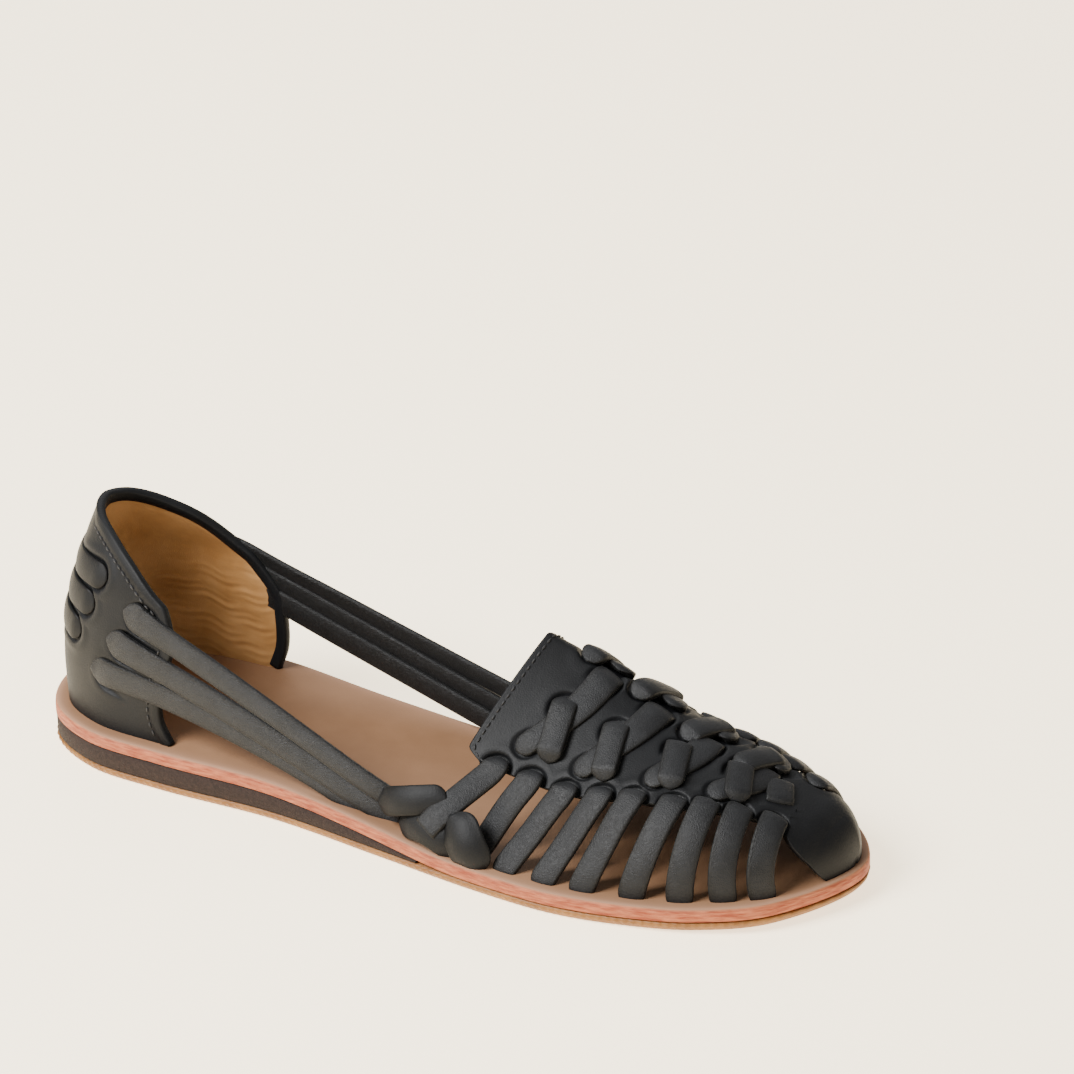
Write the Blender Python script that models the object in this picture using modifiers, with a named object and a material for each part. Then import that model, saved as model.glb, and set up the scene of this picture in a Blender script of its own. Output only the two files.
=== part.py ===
"""A woven leather slip-on sandal, right foot: rubber outsole, heel wedge, leather midsole and a one-piece
upper made of a heel counter, long side straps, a vamp plug with woven bands, side strips and a toe cap.
Metres, +X to the toe, +Y to the medial side, +Z up, standing on z = 0."""
import bmesh
import bpy
import numpy as np

# Driving sizes
sole_length = 0.254
ball_width = 0.0825
heel_width = 0.0655
instep_height = 0.0485      # crown of the vamp over the footbed, at the throat
outsole_thickness = 0.0026
wedge_thickness = 0.0058
midsole_thickness = 0.0040
toe_spring = 0.0024
seat_gap = 0.0003           # between pieces that touch
edge_round = 0.0006
outsole_undercut = 0.0014
wedge_blunt_end = 0.0007
side_margin = 0.0046        # upper's outer face, in from the sole's edge
toe_margin = 0.0022
counter_height = 0.0720     # topline at the back, over the floor
counter_front = 0.0535      # front edge of the counter, from the heel
back_band_rise = 0.0011
counter_wall = 0.0022
plug_wall = 0.0020
strap_width = 0.0092
strap_thickness = 0.0019
strip_width = 0.0076
strip_thickness = 0.0018
weave_width = 0.0078
weave_bury = 0.0013         # how deep the bands sink into the plug, so that no pocket is left
weave_rise = 0.0018
toe_round = 0.0110          # length over which the toe closes

# along: share of sole_length; lateral, medial: shares of the width there
sole_rows = [
    (0.030, 0.310, 0.289),
    (0.100, 0.475, 0.465),
    (0.200, 0.510, 0.500),
    (0.350, 0.479, 0.409),
    (0.500, 0.494, 0.365),
    (0.620, 0.511, 0.399),
    (0.720, 0.515, 0.465),
    (0.800, 0.480, 0.490),
    (0.880, 0.406, 0.462),
    (0.950, 0.259, 0.348),
]
toe_tip_side = 0.095

# along; thickness of the wedge with its seat, share of wedge_thickness
wedge_rows = [
    (0.00, 1.00),
    (0.24, 1.00),
    (0.34, 0.92),
    (0.43, 0.70),
    (0.49, 0.47),
    (0.54, 0.22),
    (0.58, 0.06),
    (0.62, 0.00),
]

# along; crown: share of instep_height; ridge: share of ball_width to the medial side;
# lateral, medial: exponents of the section's two sides
vamp_rows = [
    (0.57, 1.101, 0.109, 1.12, 1.60),
    (0.62, 0.985, 0.113, 1.12, 1.75),
    (0.68, 0.854, 0.112, 1.16, 1.90),
    (0.74, 0.724, 0.097, 1.35, 2.00),
    (0.80, 0.600, 0.080, 1.80, 2.05),
    (0.86, 0.511, 0.078, 2.20, 2.12),
    (0.92, 0.385, 0.092, 2.45, 2.15),
    (0.97, 0.281, 0.120, 2.60, 2.15),
]

# along; lateral, medial: where the plug's edges run, as shares of the way round the section
plug_rows = [
    (0.570, 0.200, 0.800),
    (0.620, 0.215, 0.790),
    (0.700, 0.225, 0.775),
    (0.780, 0.262, 0.745),
    (0.830, 0.280, 0.725),
    (0.880, 0.310, 0.700),
    (0.930, 0.330, 0.670),
    (0.955, 0.300, 0.700),
]

# height: share of counter_height; back: how far the back face leans forward, share of heel_width;
# half widths there as shares of the foot's, lateral and medial; front edge, share of counter_front,
# lateral and medial
counter_rows = [
    (0.18, -0.012, 1.00, 1.00, 1.01, 1.01),
    (0.26, -0.017, 1.00, 1.01, 0.95, 1.05),
    (0.42, -0.016, 1.00, 1.01, 0.96, 1.06),
    (0.56, 0.006, 0.98, 0.98, 1.02, 1.05),
    (0.70, 0.047, 0.92, 0.91, 1.07, 0.98),
    (0.80, 0.084, 0.86, 0.79, 1.08, 0.95),
    (0.89, 0.114, 0.76, 0.65, 1.08, 0.95),
    (1.00, 0.160, 0.61, 0.50, 1.08, 0.95),
]

# way round from the back to the front edge; height of the topline, lateral and medial,
# shares of counter_height
topline_rows = [
    (0.00, 1.000, 1.000),
    (0.25, 0.995, 0.985),
    (0.50, 0.955, 0.925),
    (0.70, 0.880, 0.840),
    (0.85, 0.790, 0.730),
    (0.95, 0.725, 0.640),
    (1.00, 0.670, 0.550),
]

# bands round the back of the counter: way round of their ends; height at the ends and at the back,
# shares of counter_height
back_band_rows = [
    (0.58, 0.800, 0.800),
    (0.54, 0.675, 0.690),
    (0.48, 0.545, 0.575),
]

# long straps: way round and height of the slot, lateral then medial; heights where the braid starts,
# lateral and medial (shares of counter_height); how far out they lie there, in strap thicknesses;
# rise of the middle over a straight line, in strap widths, lateral and medial
strap_rows = [
    (0.755, 0.705, 0.740, 0.700, 0.245, 0.390, 0.9, 0.3, 0.0),
    (0.700, 0.575, 0.700, 0.640, 0.195, 0.310, 0.0, 0.8, 0.0),
    (0.630, 0.430, 0.650, 0.575, 0.155, 0.229, -0.9, 1.7, 0.0),
]
braid_start = 0.468

# the braid that gathers the straps: along; height of its middle over the footbed and its width,
# lateral then medial, as shares of strap_width; how far out it lies, in strap thicknesses
braid_rows = [
    (0.450, 0.68, 1.10, 1.20, 1.45, -0.4),
    (0.490, 0.58, 1.12, 1.20, 1.60, 0.6),
    (0.530, 0.58, 1.12, 0.85, 1.40, 0.6),
    (0.570, 0.62, 1.05, 0.70, 1.15, 1.3),
    (0.605, 0.55, 0.95, 0.60, 1.00, 1.5),
    (0.632, 0.15, 0.85, 0.20, 0.85, 0.4),
]

# side strips: along at the plug's edge and at the sole; how far out the foot of the strip lies,
# in strip thicknesses
strip_rows = [
    (0.612, 0.556, 1.9),
    (0.655, 0.612, -0.9),
    (0.699, 0.657, 0.0),
    (0.741, 0.706, 0.0),
    (0.779, 0.752, 0.0),
    (0.824, 0.807, 0.0),
    (0.857, 0.858, 0.0),
    (0.889, 0.900, 0.0),
    (0.923, 0.936, 0.0),
]

# woven units on the plug: along of the diagonal band at its slot and its tip, along of the short
# band over it at its lower and upper end
weave_rows = [
    (0.627, 0.690, 0.667, 0.659),
    (0.700, 0.754, 0.737, 0.722),
    (0.783, 0.812, 0.813, 0.790),
    (0.851, 0.879, 0.882, 0.857),
]


def share(along, rows, column):
    """Smooth value of one table column at a station."""
    stations = np.array([row[0] for row in rows])
    values = np.array([row[column] for row in rows])
    slopes = np.gradient(values, stations)
    x = np.clip(along, stations[0], stations[-1])
    i = np.clip(np.searchsorted(stations, x) - 1, 0, len(stations) - 2)
    span = stations[i + 1] - stations[i]
    t = (x - stations[i]) / span
    return (
        (2 * t**3 - 3 * t**2 + 1) * values[i]
        + (t**3 - 2 * t**2 + t) * span * slopes[i]
        + (3 * t**2 - 2 * t**3) * values[i + 1]
        + (t**3 - t**2) * span * slopes[i + 1]
    )


def ease(value):
    value = np.clip(value, 0, 1)
    return value * value * (3 - 2 * value)


def width_at(along):
    return heel_width + (ball_width - heel_width) * ease((along - 0.20) / 0.52)


def rounded_loop(points, steps):
    """Closed centripetal Catmull-Rom curve through the points."""
    points = np.array(points)
    count = len(points)
    curve = []
    for i in range(count):
        p0, p1, p2, p3 = (points[(i + k) % count] for k in (-1, 0, 1, 2))
        d01 = np.linalg.norm(p1 - p0) ** 0.5
        d12 = np.linalg.norm(p2 - p1) ** 0.5
        d23 = np.linalg.norm(p3 - p2) ** 0.5
        m1 = ((p1 - p0) / d01 - (p2 - p0) / (d01 + d12) + (p2 - p1) / d12) * d12
        m2 = ((p2 - p1) / d12 - (p3 - p1) / (d12 + d23) + (p3 - p2) / d23) * d12
        for t in np.linspace(0, 1, steps, endpoint=False):
            curve.append(
                (2 * t**3 - 3 * t**2 + 1) * p1
                + (t**3 - 2 * t**2 + t) * m1
                + (3 * t**2 - 2 * t**3) * p2
                + (t**3 - t**2) * m2
            )
    return np.array(curve)


def sole_sides(inset_at):
    """Lateral and medial edge of the sole, from heel to toe, moved in by inset_at(x)."""
    lateral = [(a * sole_length, -lat * width_at(a)) for a, lat, med in sole_rows]
    medial = [(a * sole_length, med * width_at(a)) for a, lat, med in sole_rows]
    tip = (sole_length, toe_tip_side * ball_width)
    loop = rounded_loop([(0, 0)] + lateral + [tip] + medial[::-1], 24)
    along = np.roll(loop, -1, 0) - np.roll(loop, 1, 0)
    along /= np.linalg.norm(along, axis=1)[:, None]
    inward = np.stack([-along[:, 1], along[:, 0]], 1)
    loop = loop + inward * inset_at(loop[:, 0])[:, None]
    loop = np.roll(loop, -int(np.argmin(loop[:, 0])), 0)
    toe = int(np.argmax(loop[:, 0]))
    return loop[: toe + 1], np.vstack([loop[toe:], loop[:1]])[::-1]


def at_x(side, x):
    return np.interp(x, side[:, 0], side[:, 1])


def even(inset):
    return lambda x: np.full(len(x), inset)


def spring_at(x):
    return toe_spring * np.clip((x / sole_length - 0.70) / 0.30, 0, 1) ** 2


def wedge_at(x):
    """Thickness of the wedge and its seat."""
    return wedge_thickness * share(x / sole_length, wedge_rows, 1)


def outsole_top(x):
    return spring_at(x) + outsole_thickness


def midsole_bottom(x):
    return outsole_top(x) + seat_gap + wedge_at(x)


def footbed(x):
    return midsole_bottom(x) + midsole_thickness


bpy.ops.object.select_all(action="DESELECT")
for old in list(bpy.data.objects):
    bpy.data.objects.remove(old, do_unlink=True)

sandal = bpy.data.collections.new("sandal")
helpers = bpy.data.collections.new("helpers")
bpy.context.scene.collection.children.link(sandal)
bpy.context.scene.collection.children.link(helpers)
helpers.hide_render = True

outer_lateral, outer_medial = sole_sides(even(0.0))
middle_x = (outer_lateral[:, 0].min() + outer_lateral[:, 0].max()) / 2
middle_y = (outer_lateral[:, 1].min() + outer_medial[:, 1].max()) / 2
frame = bpy.data.objects.new("sandal_frame", None)
frame.location = (-middle_x, -middle_y, 0)
sandal.objects.link(frame)


def material(name, colour, roughness):
    made = bpy.data.materials.new(name)
    made.use_nodes = True
    shader = made.node_tree.nodes["Principled BSDF"]
    shader.inputs["Base Color"].default_value = (*colour, 1)
    shader.inputs["Roughness"].default_value = roughness
    return made


def mesh_object(name, points, faces, collection, look=None):
    data = bpy.data.meshes.new(name)
    data.from_pydata([tuple(p) for p in points], [], faces)
    data.validate()
    data.update()
    made = bpy.data.objects.new(name, data)
    collection.objects.link(made)
    made.parent = frame
    if look:
        data.materials.append(look)
    if collection is helpers:
        made.hide_render = True
        made.display_type = "WIRE"
    return made


def flat_layer(name, loops, first, last, stations, look, collection=sandal):
    """Solid between outline loops; each loop is (inset, height function of x)."""
    points, faces = [], []
    spread = (1 - np.cos(np.linspace(0, np.pi, stations))) / 2
    for inset, height in loops:
        lateral, medial = sole_sides(even(inset))
        low = lateral[0, 0] if first is None else first
        high = lateral[-1, 0] if last is None else last
        x = low + (high - low) * spread
        points += [(a, at_x(lateral, a), height(a)) for a in x]
        points += [(a, at_x(medial, a), height(a)) for a in x]
    ring = 2 * stations
    order = list(range(stations)) + list(range(ring - 1, stations - 1, -1))
    for k in range(len(loops) - 1):
        for i in range(ring):
            a, b = order[i] + k * ring, order[(i + 1) % ring] + k * ring
            faces.append((a, b, b + ring, a + ring))
    top = ring * (len(loops) - 1)
    for i in range(stations - 1):
        faces.append((i, i + stations, i + stations + 1, i + 1))
        faces.append((top + i, top + i + 1, top + i + stations + 1, top + i + stations))
    made = mesh_object(name, points, faces, collection, look)
    weld(made)
    return made


def weld(made):
    """Joins the doubled points where a side comes to a tip, and turns the faces out."""
    work = bmesh.new()
    work.from_mesh(made.data)
    bmesh.ops.remove_doubles(work, verts=work.verts, dist=0.00002)
    bmesh.ops.dissolve_degenerate(work, edges=work.edges, dist=0.000001)
    bmesh.ops.recalc_face_normals(work, faces=work.faces)
    work.to_mesh(made.data)
    work.free()


rubber = material("honey_rubber", (0.42, 0.25, 0.10), 0.55)
dark_board = material("dark_brown_wedge", (0.055, 0.038, 0.032), 0.75)
edge_leather = material("tan_sole_leather", (0.48, 0.30, 0.18), 0.6)
black_leather = material("black_leather", (0.022, 0.022, 0.023), 0.5)

outsole = flat_layer(
    "outsole",
    [
        (outsole_undercut, spring_at),
        (edge_round, lambda x: spring_at(x) + outsole_thickness * 0.35),
        (0.0, lambda x: spring_at(x) + outsole_thickness * 0.7),
        (0.0, outsole_top),
    ],
    None, None, 40, rubber,
)

wedge_end = sole_length * np.interp(
    -(wedge_blunt_end + seat_gap),
    -wedge_at(np.linspace(0.3, 0.6, 200) * sole_length),
    np.linspace(0.3, 0.6, 200),
)
heel_wedge = flat_layer(
    "heel_wedge",
    [
        (0.0002, lambda x: outsole_top(x) + seat_gap),
        (0.0002, lambda x: midsole_bottom(x) - seat_gap),
    ],
    None, wedge_end, 30, dark_board,
)

leather_midsole = flat_layer(
    "leather_midsole",
    [
        (0.0, midsole_bottom),
        (0.0, lambda x: footbed(x) - edge_round),
        (edge_round, footbed),
    ],
    None, None, 40, edge_leather,
)

# The last: its edge on the footbed and its sections
last_lateral, last_medial = sole_sides(
    lambda x: side_margin + (toe_margin - side_margin) * ease((x / sole_length - 0.9) / 0.1)
)
last_tip = last_lateral[-1, 0]


def section(x, count=61):
    """Outer face of the vamp at x, from the lateral edge over the ridge to the medial edge."""
    along = x / sole_length
    closing = np.clip((x - (last_tip - toe_round)) / toe_round, 0, 1)
    crown = instep_height * share(along, vamp_rows, 1) * (1 - closing**2.2) ** (1 / 2.2)
    lateral, medial = at_x(last_lateral, x), at_x(last_medial, x)
    ridge = np.clip(ball_width * share(along, vamp_rows, 2), lateral, medial)
    angle = np.linspace(0, np.pi, count)
    across = np.abs(np.cos(angle))
    rise = np.clip(np.sin(angle), 0, 1)
    near = angle <= np.pi / 2
    power = np.where(near, 2 / share(along, vamp_rows, 3), 2 / share(along, vamp_rows, 4))
    side = np.where(near, lateral - ridge, medial - ridge)
    return np.stack([np.full(count, x), ridge + side * across**power, footbed(x) + crown * rise**power], 1)


def on_vamp(x, t):
    """Point of the vamp's outer face, t from 0 at the lateral edge to 1 at the medial edge."""
    points = section(x)
    length = np.concatenate([[0], np.cumsum(np.linalg.norm(np.diff(points, axis=0), axis=1))])
    if length[-1] < 1e-9:
        return points[0]
    return np.array([np.interp(t * length[-1], length, points[:, k]) for k in range(3)])


def vamp_normal(x, t):
    x = min(x, last_tip - 0.0015)
    across = on_vamp(x, min(t + 0.02, 1)) - on_vamp(x, max(t - 0.02, 0))
    forward = on_vamp(x + 0.001, t) - on_vamp(x - 0.001, t)
    normal = np.cross(forward, across)
    return normal / np.linalg.norm(normal)


def shell(name, grid, thickness):
    """A wall of even thickness behind the outer face given as a grid of points."""
    grid = np.array(grid)
    rows, columns = grid.shape[:2]
    faces = [
        (i * columns + j, i * columns + j + 1, (i + 1) * columns + j + 1, (i + 1) * columns + j)
        for i in range(rows - 1)
        for j in range(columns - 1)
    ]
    made = mesh_object(name, grid.reshape(-1, 3), faces, helpers)
    weld(made)
    wall = made.modifiers.new("wall", "SOLIDIFY")
    wall.thickness = thickness
    wall.offset = -1
    wall.use_even_offset = True
    return made


def turn_faces(made, outward):
    """Points the open sheet's faces along outward, a function of a face centre."""
    total = 0
    for face in made.data.polygons:
        total += face.normal.dot(outward(face.center)) * face.area
    if total < 0:
        made.data.flip_normals()


def band(name, centres, normals, widths, thickness):
    """Flat strap along the centres, its outer face on them and its outer edges bevelled."""
    centres = np.array(centres)
    widths = np.broadcast_to(widths, len(centres))
    along = np.gradient(centres, axis=0)
    bevel = 0.22 * thickness
    points, faces = [], []
    for centre, normal, direction, width in zip(centres, normals, along, widths):
        direction = direction / np.linalg.norm(direction)
        side = np.cross(normal, direction)
        side /= np.linalg.norm(side)
        out = np.cross(direction, side)
        half = width / 2
        for across, depth in (
            (-half, thickness), (-half, bevel), (bevel - half, 0),
            (half - bevel, 0), (half, bevel), (half, thickness),
        ):
            points.append(centre + side * across - out * depth)
    ring = 6
    last = ring * (len(centres) - 1)
    for i in range(len(centres) - 1):
        for j in range(ring):
            a, b = i * ring + j, i * ring + (j + 1) % ring
            faces.append((a, b, b + ring, a + ring))
    faces.append(tuple(range(ring))[::-1])
    faces.append(tuple(last + j for j in range(ring)))
    made = mesh_object(name, points, faces, helpers)
    weld(made)
    return made


# Counter
last_back = last_lateral[0, 0]


def base_point(way):
    """Point of the counter's foot, way from -1 (lateral front edge) over the back to 1."""
    side = last_lateral if way < 0 else last_medial
    kept = side[side[:, 0] <= counter_front]
    length = np.concatenate([[0], np.cumsum(np.linalg.norm(np.diff(kept, axis=0), axis=1))])
    return np.array([np.interp(abs(way) * length[-1], length, kept[:, k]) for k in range(2)])


def on_counter(way, height):
    """Point of the counter's outer face."""
    x, y = base_point(way)
    level = height / counter_height
    side = 0.5 + 0.5 * np.sin(np.clip(way / 0.2, -1, 1) * np.pi / 2)
    back = last_back + heel_width * share(level, counter_rows, 1)
    narrow = (1 - side) * share(level, counter_rows, 2) + side * share(level, counter_rows, 3)
    front = (1 - side) * share(level, counter_rows, 4) + side * share(level, counter_rows, 5)
    reach = (x - last_back) / (counter_front - last_back)
    x = back + reach * (counter_front * (1 + (front - 1) * reach) - back)
    return np.array([x, y * narrow, height])


def counter_normal(way, height):
    around = on_counter(min(way + 0.03, 1), height) - on_counter(max(way - 0.03, -1), height)
    up = on_counter(way, height + 0.002) - on_counter(way, height - 0.002)
    normal = np.cross(up, around)
    normal /= np.linalg.norm(normal)
    x, y = base_point(way)
    return normal if normal[0] * (x - counter_front * 0.7) + normal[1] * y > 0 else -normal


def topline(way):
    return counter_height * share(abs(way), topline_rows, 1 if way < 0 else 2)


def away_from_counter(point):
    return (point.x - counter_front * 0.6, point.y, 0)


ways = np.linspace(-1, 1, 29)
levels = np.linspace(0, 1, 8)
foot_level = float(footbed(np.array(0.0))) - 0.002
counter = shell(
    "counter_wall",
    [[on_counter(w, foot_level + (topline(w) - foot_level) * k) for k in levels] for w in ways],
    counter_wall,
)
turn_faces(counter, away_from_counter)
pieces = [counter]

for row, (end, low, high) in enumerate(back_band_rows):
    round_ways = np.linspace(-end, end, 13)
    heights = counter_height * (high + (low - high) * (np.abs(round_ways) / end) ** 1.5)
    normals = [counter_normal(w, h) for w, h in zip(round_ways, heights)]
    rises = np.full(13, back_band_rise)
    rises[[0, -1]] = -0.2 * back_band_rise
    centres = [
        on_counter(w, h) + n * r for w, h, n, r in zip(round_ways, heights, normals, rises)
    ]
    pieces.append(band(f"back_band_{row}", centres, normals, strap_width * 0.9, back_band_rise + 0.3 * counter_wall))

# Straps of the two sides, gathered in a braid
braid_x = braid_start * sole_length


def sole_edge(sign, x):
    return at_x(last_lateral if sign < 0 else last_medial, x)


def braid_point(sign, along, rise, out):
    """Point beside the footbed's edge, and the way out from the foot there."""
    x = along * sole_length
    lean = 0.35 + 0.55 * ease((along - 0.47) / 0.12) if sign < 0 else 0.0
    normal = np.array([0, sign, lean]) / np.hypot(1, lean)
    height = rise * strap_width
    point = np.array([x, sole_edge(sign, x) - sign * lean * height, footbed(x) + height])
    return point + normal * out * strap_thickness, normal


for sign, side in ((-1, "lateral"), (1, "medial")):
    for row, columns in enumerate(strap_rows):
        way, slot, meet, arch = (columns[k] for k in ((0, 1, 4, 7) if sign < 0 else (2, 3, 5, 8)))
        slot_height = slot * counter_height
        first = on_counter(sign * way, slot_height)
        first_normal = counter_normal(sign * way, slot_height)
        rise = (meet * counter_height - footbed(braid_x)) / strap_width
        end, end_normal = braid_point(sign, braid_start, rise, columns[6])
        centres, normals, widths = [], [], []
        for t in (-0.03, 0.01, 0.06, 0.2, 0.4, 0.6, 0.8, 0.96, 1.06):
            normal = first_normal + (end_normal - first_normal) * ease(t)
            normal /= np.linalg.norm(normal)
            centre = first + (end - first) * t
            centre[2] += strap_width * arch * t * (1 - t)
            lift = 0.95 * ease((t + 0.03) / 0.09) - 0.1 * (t < 0) - 1.6 * ease((t - 0.96) / 0.1)
            centres.append(centre + normal * strap_thickness * lift)
            normals.append(normal)
            widths.append(strap_width * (1.0 if 0.04 < t < 1 else 0.92))
        pieces.append(band(f"{side}_strap_{row}", centres, normals, widths, strap_thickness))
    centres, normals, widths = [], [], []
    for along in np.linspace(braid_rows[0][0], braid_rows[-1][0], 11):
        columns = (1, 2, 5) if sign < 0 else (3, 4, 5)
        rise, width, out = (share(along, braid_rows, k) for k in columns)
        centre, normal = braid_point(sign, along, rise, out)
        centres.append(centre)
        normals.append(normal)
        widths.append(width * strap_width)
    pieces.append(band(f"{side}_braid", centres, normals, widths, strap_thickness * 1.9))

# Vamp plug and toe cap
throat_ridge = 0.613
throat_lobe = 0.570
throat_peak = 0.25


def throat_at(c):
    """Where the plug's back edge runs, c from -1 lateral to 1 medial."""
    back = ((throat_peak - c) / (1 + throat_peak)) ** 1.15 if c < throat_peak else (c - throat_peak) ** 2
    lobe = throat_ridge + (throat_lobe - throat_ridge) * back
    return (lobe + 0.022 * ease((abs(c) - 0.86) / 0.14) ** 2) * sole_length


def plug_point(u, c):
    start = throat_at(c)
    x = start + (0.962 * sole_length - start) * u
    along = x / sole_length
    low, high = share(along, plug_rows, 1), share(along, plug_rows, 2)
    return on_vamp(x, low + (high - low) * (c + 1) / 2)


def up_from_foot(point):
    return (0, 0, 1)


plug = shell(
    "plug_wall",
    [[plug_point(u, np.sin(c)) for c in np.linspace(-0.5, 0.5, 15) * np.pi] for u in np.linspace(0, 1, 15)],
    plug_wall,
)
turn_faces(plug, up_from_foot)
pieces.append(plug)

cap_ridge = 0.938
cap_foot = 0.978
cap_rows = []
for v in np.linspace(0, 1, 9):
    line = []
    for t in np.linspace(0, 1, 17):
        start = cap_ridge + (cap_foot - cap_ridge) * abs(2 * t - 1) ** 2.2
        start *= sole_length
        x = start + (last_tip - start) * v ** 0.75
        line.append(on_vamp(x, t))
    cap_rows.append(line)
cap = shell("toe_cap_wall", cap_rows, plug_wall)
turn_faces(cap, lambda point: (point.x - 0.94 * sole_length, 0, 0.02))
pieces.append(cap)


def along_vamp(name, stations, width, thickness):
    """Band on the vamp; stations are (x, t, rise over its face)."""
    normals = [vamp_normal(x, t) for x, t, rise in stations]
    centres = [on_vamp(x, t) + n * r for (x, t, r), n in zip(stations, normals)]
    return band(name, centres, normals, width, thickness)


for sign, side in ((-1, "lateral"), (1, "medial")):
    edge_column = 1 if sign < 0 else 2
    for row, (top, foot, out) in enumerate(strip_rows):
        edge = share(top, plug_rows, edge_column)
        edge = edge if sign < 0 else 1 - edge
        stations = []
        for t in (-0.16, -0.02, 0.1, 0.3, 0.55, 0.8, 1.0):
            x = (top + (foot - top) * max(t, 0)) * sole_length
            way = edge * (1 - t)
            rise = 1.15 * (1 - ease((t - 0.1) / 0.35)) if t > -0.1 else -0.3
            rise = strip_thickness * (rise + out * ease((t - 0.35) / 0.5))
            stations.append((x, way if sign < 0 else 1 - way, rise))
        pieces.append(along_vamp(f"{side}_strip_{row}", stations, strip_width, strip_thickness))

    for row, (slot, tip, low, high) in enumerate(weave_rows):
        edge = share(slot, plug_rows, edge_column)
        edge = edge if sign < 0 else 1 - edge
        over = 0.9 if sign > 0 else 0.0
        reach = 0.585 if sign < 0 else 0.425
        stations = []
        for t in np.linspace(0, 1, 7):
            way = edge + 0.065 + (reach - edge - 0.065) * t
            rise = weave_rise * (1 + over * ease((t - 0.5) / 0.3))
            rise = rise if t > 0 else 0.35 * rise
            x = (slot + (tip - slot) * t) * sole_length
            stations.append((x, way if sign < 0 else 1 - way, rise))
        pieces.append(
            along_vamp(
                f"{side}_diagonal_{row}", stations, weave_width, weave_rise * (1 + over) + weave_bury
            )
        )
        stations = []
        for t in np.linspace(0, 1, 6):
            way = edge + 0.055 + 0.165 * t
            rise = weave_rise * (1.8 if 0.1 < t < 0.9 else 0.5)
            x = (low + (high - low) * t) * sole_length
            stations.append((x, way if sign < 0 else 1 - way, rise))
        pieces.append(
            along_vamp(
                f"{side}_crossing_{row}", stations, weave_width * 0.95, weave_rise * 1.8 + weave_bury
            )
        )

patch = along_vamp(
    "toe_patch",
    [(0.908 * sole_length, t, weave_rise * r) for t, r in ((0.44, 0.5), (0.46, 1), (0.53, 1), (0.55, 0.5))],
    weave_width, weave_rise + weave_bury,
)
pieces.append(patch)

sole_room = flat_layer(
    "sole_room",
    [
        (-0.004, lambda x: -0.002),
        (-0.004, lambda x: footbed(x) + seat_gap),
    ],
    None, None, 40, None, helpers,
)

walls = bpy.data.collections.new("upper_walls")
helpers.children.link(walls)
for piece in pieces[1:]:
    walls.objects.link(piece)

join = counter.modifiers.new("join", "BOOLEAN")
join.operation = "UNION"
join.operand_type = "COLLECTION"
join.collection = walls
join.solver = "EXACT"
join.use_self = True
fit = counter.modifiers.new("fit", "BOOLEAN")
fit.operation = "DIFFERENCE"
fit.object = sole_room
fit.solver = "EXACT"

# The joined wall becomes the upper; crumbs that the Booleans leave in touching corners come off
bpy.context.view_layer.update()
graph = bpy.context.evaluated_depsgraph_get()
joined = bpy.data.meshes.new_from_object(counter.evaluated_get(graph), depsgraph=graph)
counter.modifiers.remove(fit)
counter.modifiers.remove(join)
work = bmesh.new()
work.from_mesh(joined)
bmesh.ops.remove_doubles(work, verts=work.verts, dist=0.00001)
bmesh.ops.dissolve_limit(work, angle_limit=0.004, verts=work.verts, edges=work.edges)
bmesh.ops.triangulate(work, faces=work.faces)
left = set(work.faces)
islands = []
while left:
    island = [left.pop()]
    for face in island:
        for edge in face.edges:
            for other in edge.link_faces:
                if other in left and len(edge.link_faces) == 2:
                    left.remove(other)
                    island.append(other)
    islands.append(island)
islands.sort(key=len)
for island in islands[:-1]:
    own = set(island)
    if all(sum(face in own for face in edge.link_faces) == 2 for part in island for edge in part.edges):
        bmesh.ops.delete(work, geom=island, context="FACES")
work.to_mesh(joined)
work.free()
joined.name = "upper"
joined.materials.clear()
joined.materials.append(black_leather)
upper = bpy.data.objects.new("upper", joined)
upper.parent = frame
sandal.objects.link(upper)
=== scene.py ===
# A black woven leather sandal, right foot: smooth leather, straps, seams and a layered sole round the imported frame.
# Lengths are metres. Points are worked out from the heel's back edge and moved into the frame's place at the end.
import bpy
import bmesh
import numpy as np
from mathutils import Matrix, Vector


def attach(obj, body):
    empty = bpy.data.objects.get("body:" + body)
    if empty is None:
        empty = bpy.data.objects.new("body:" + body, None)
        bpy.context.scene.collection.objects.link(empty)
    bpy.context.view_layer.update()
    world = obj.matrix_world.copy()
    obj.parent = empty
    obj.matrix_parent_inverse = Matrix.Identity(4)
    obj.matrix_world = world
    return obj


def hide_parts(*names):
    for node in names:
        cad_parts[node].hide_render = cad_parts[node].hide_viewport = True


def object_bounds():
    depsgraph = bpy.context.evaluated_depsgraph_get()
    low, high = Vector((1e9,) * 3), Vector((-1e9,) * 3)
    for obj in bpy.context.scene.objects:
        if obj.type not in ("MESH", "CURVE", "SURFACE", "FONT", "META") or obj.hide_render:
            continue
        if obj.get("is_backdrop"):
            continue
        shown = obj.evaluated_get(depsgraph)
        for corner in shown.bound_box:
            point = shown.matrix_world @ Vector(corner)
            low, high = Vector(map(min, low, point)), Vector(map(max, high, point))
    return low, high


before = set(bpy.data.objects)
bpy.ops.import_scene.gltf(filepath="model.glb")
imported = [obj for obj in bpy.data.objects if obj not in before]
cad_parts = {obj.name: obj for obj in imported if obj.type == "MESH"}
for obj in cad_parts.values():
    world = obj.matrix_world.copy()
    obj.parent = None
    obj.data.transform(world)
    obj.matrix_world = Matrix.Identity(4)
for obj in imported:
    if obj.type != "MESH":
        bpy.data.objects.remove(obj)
cadLow, cadHigh = (np.array(corner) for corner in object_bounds())
print("frame loaded")

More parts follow.
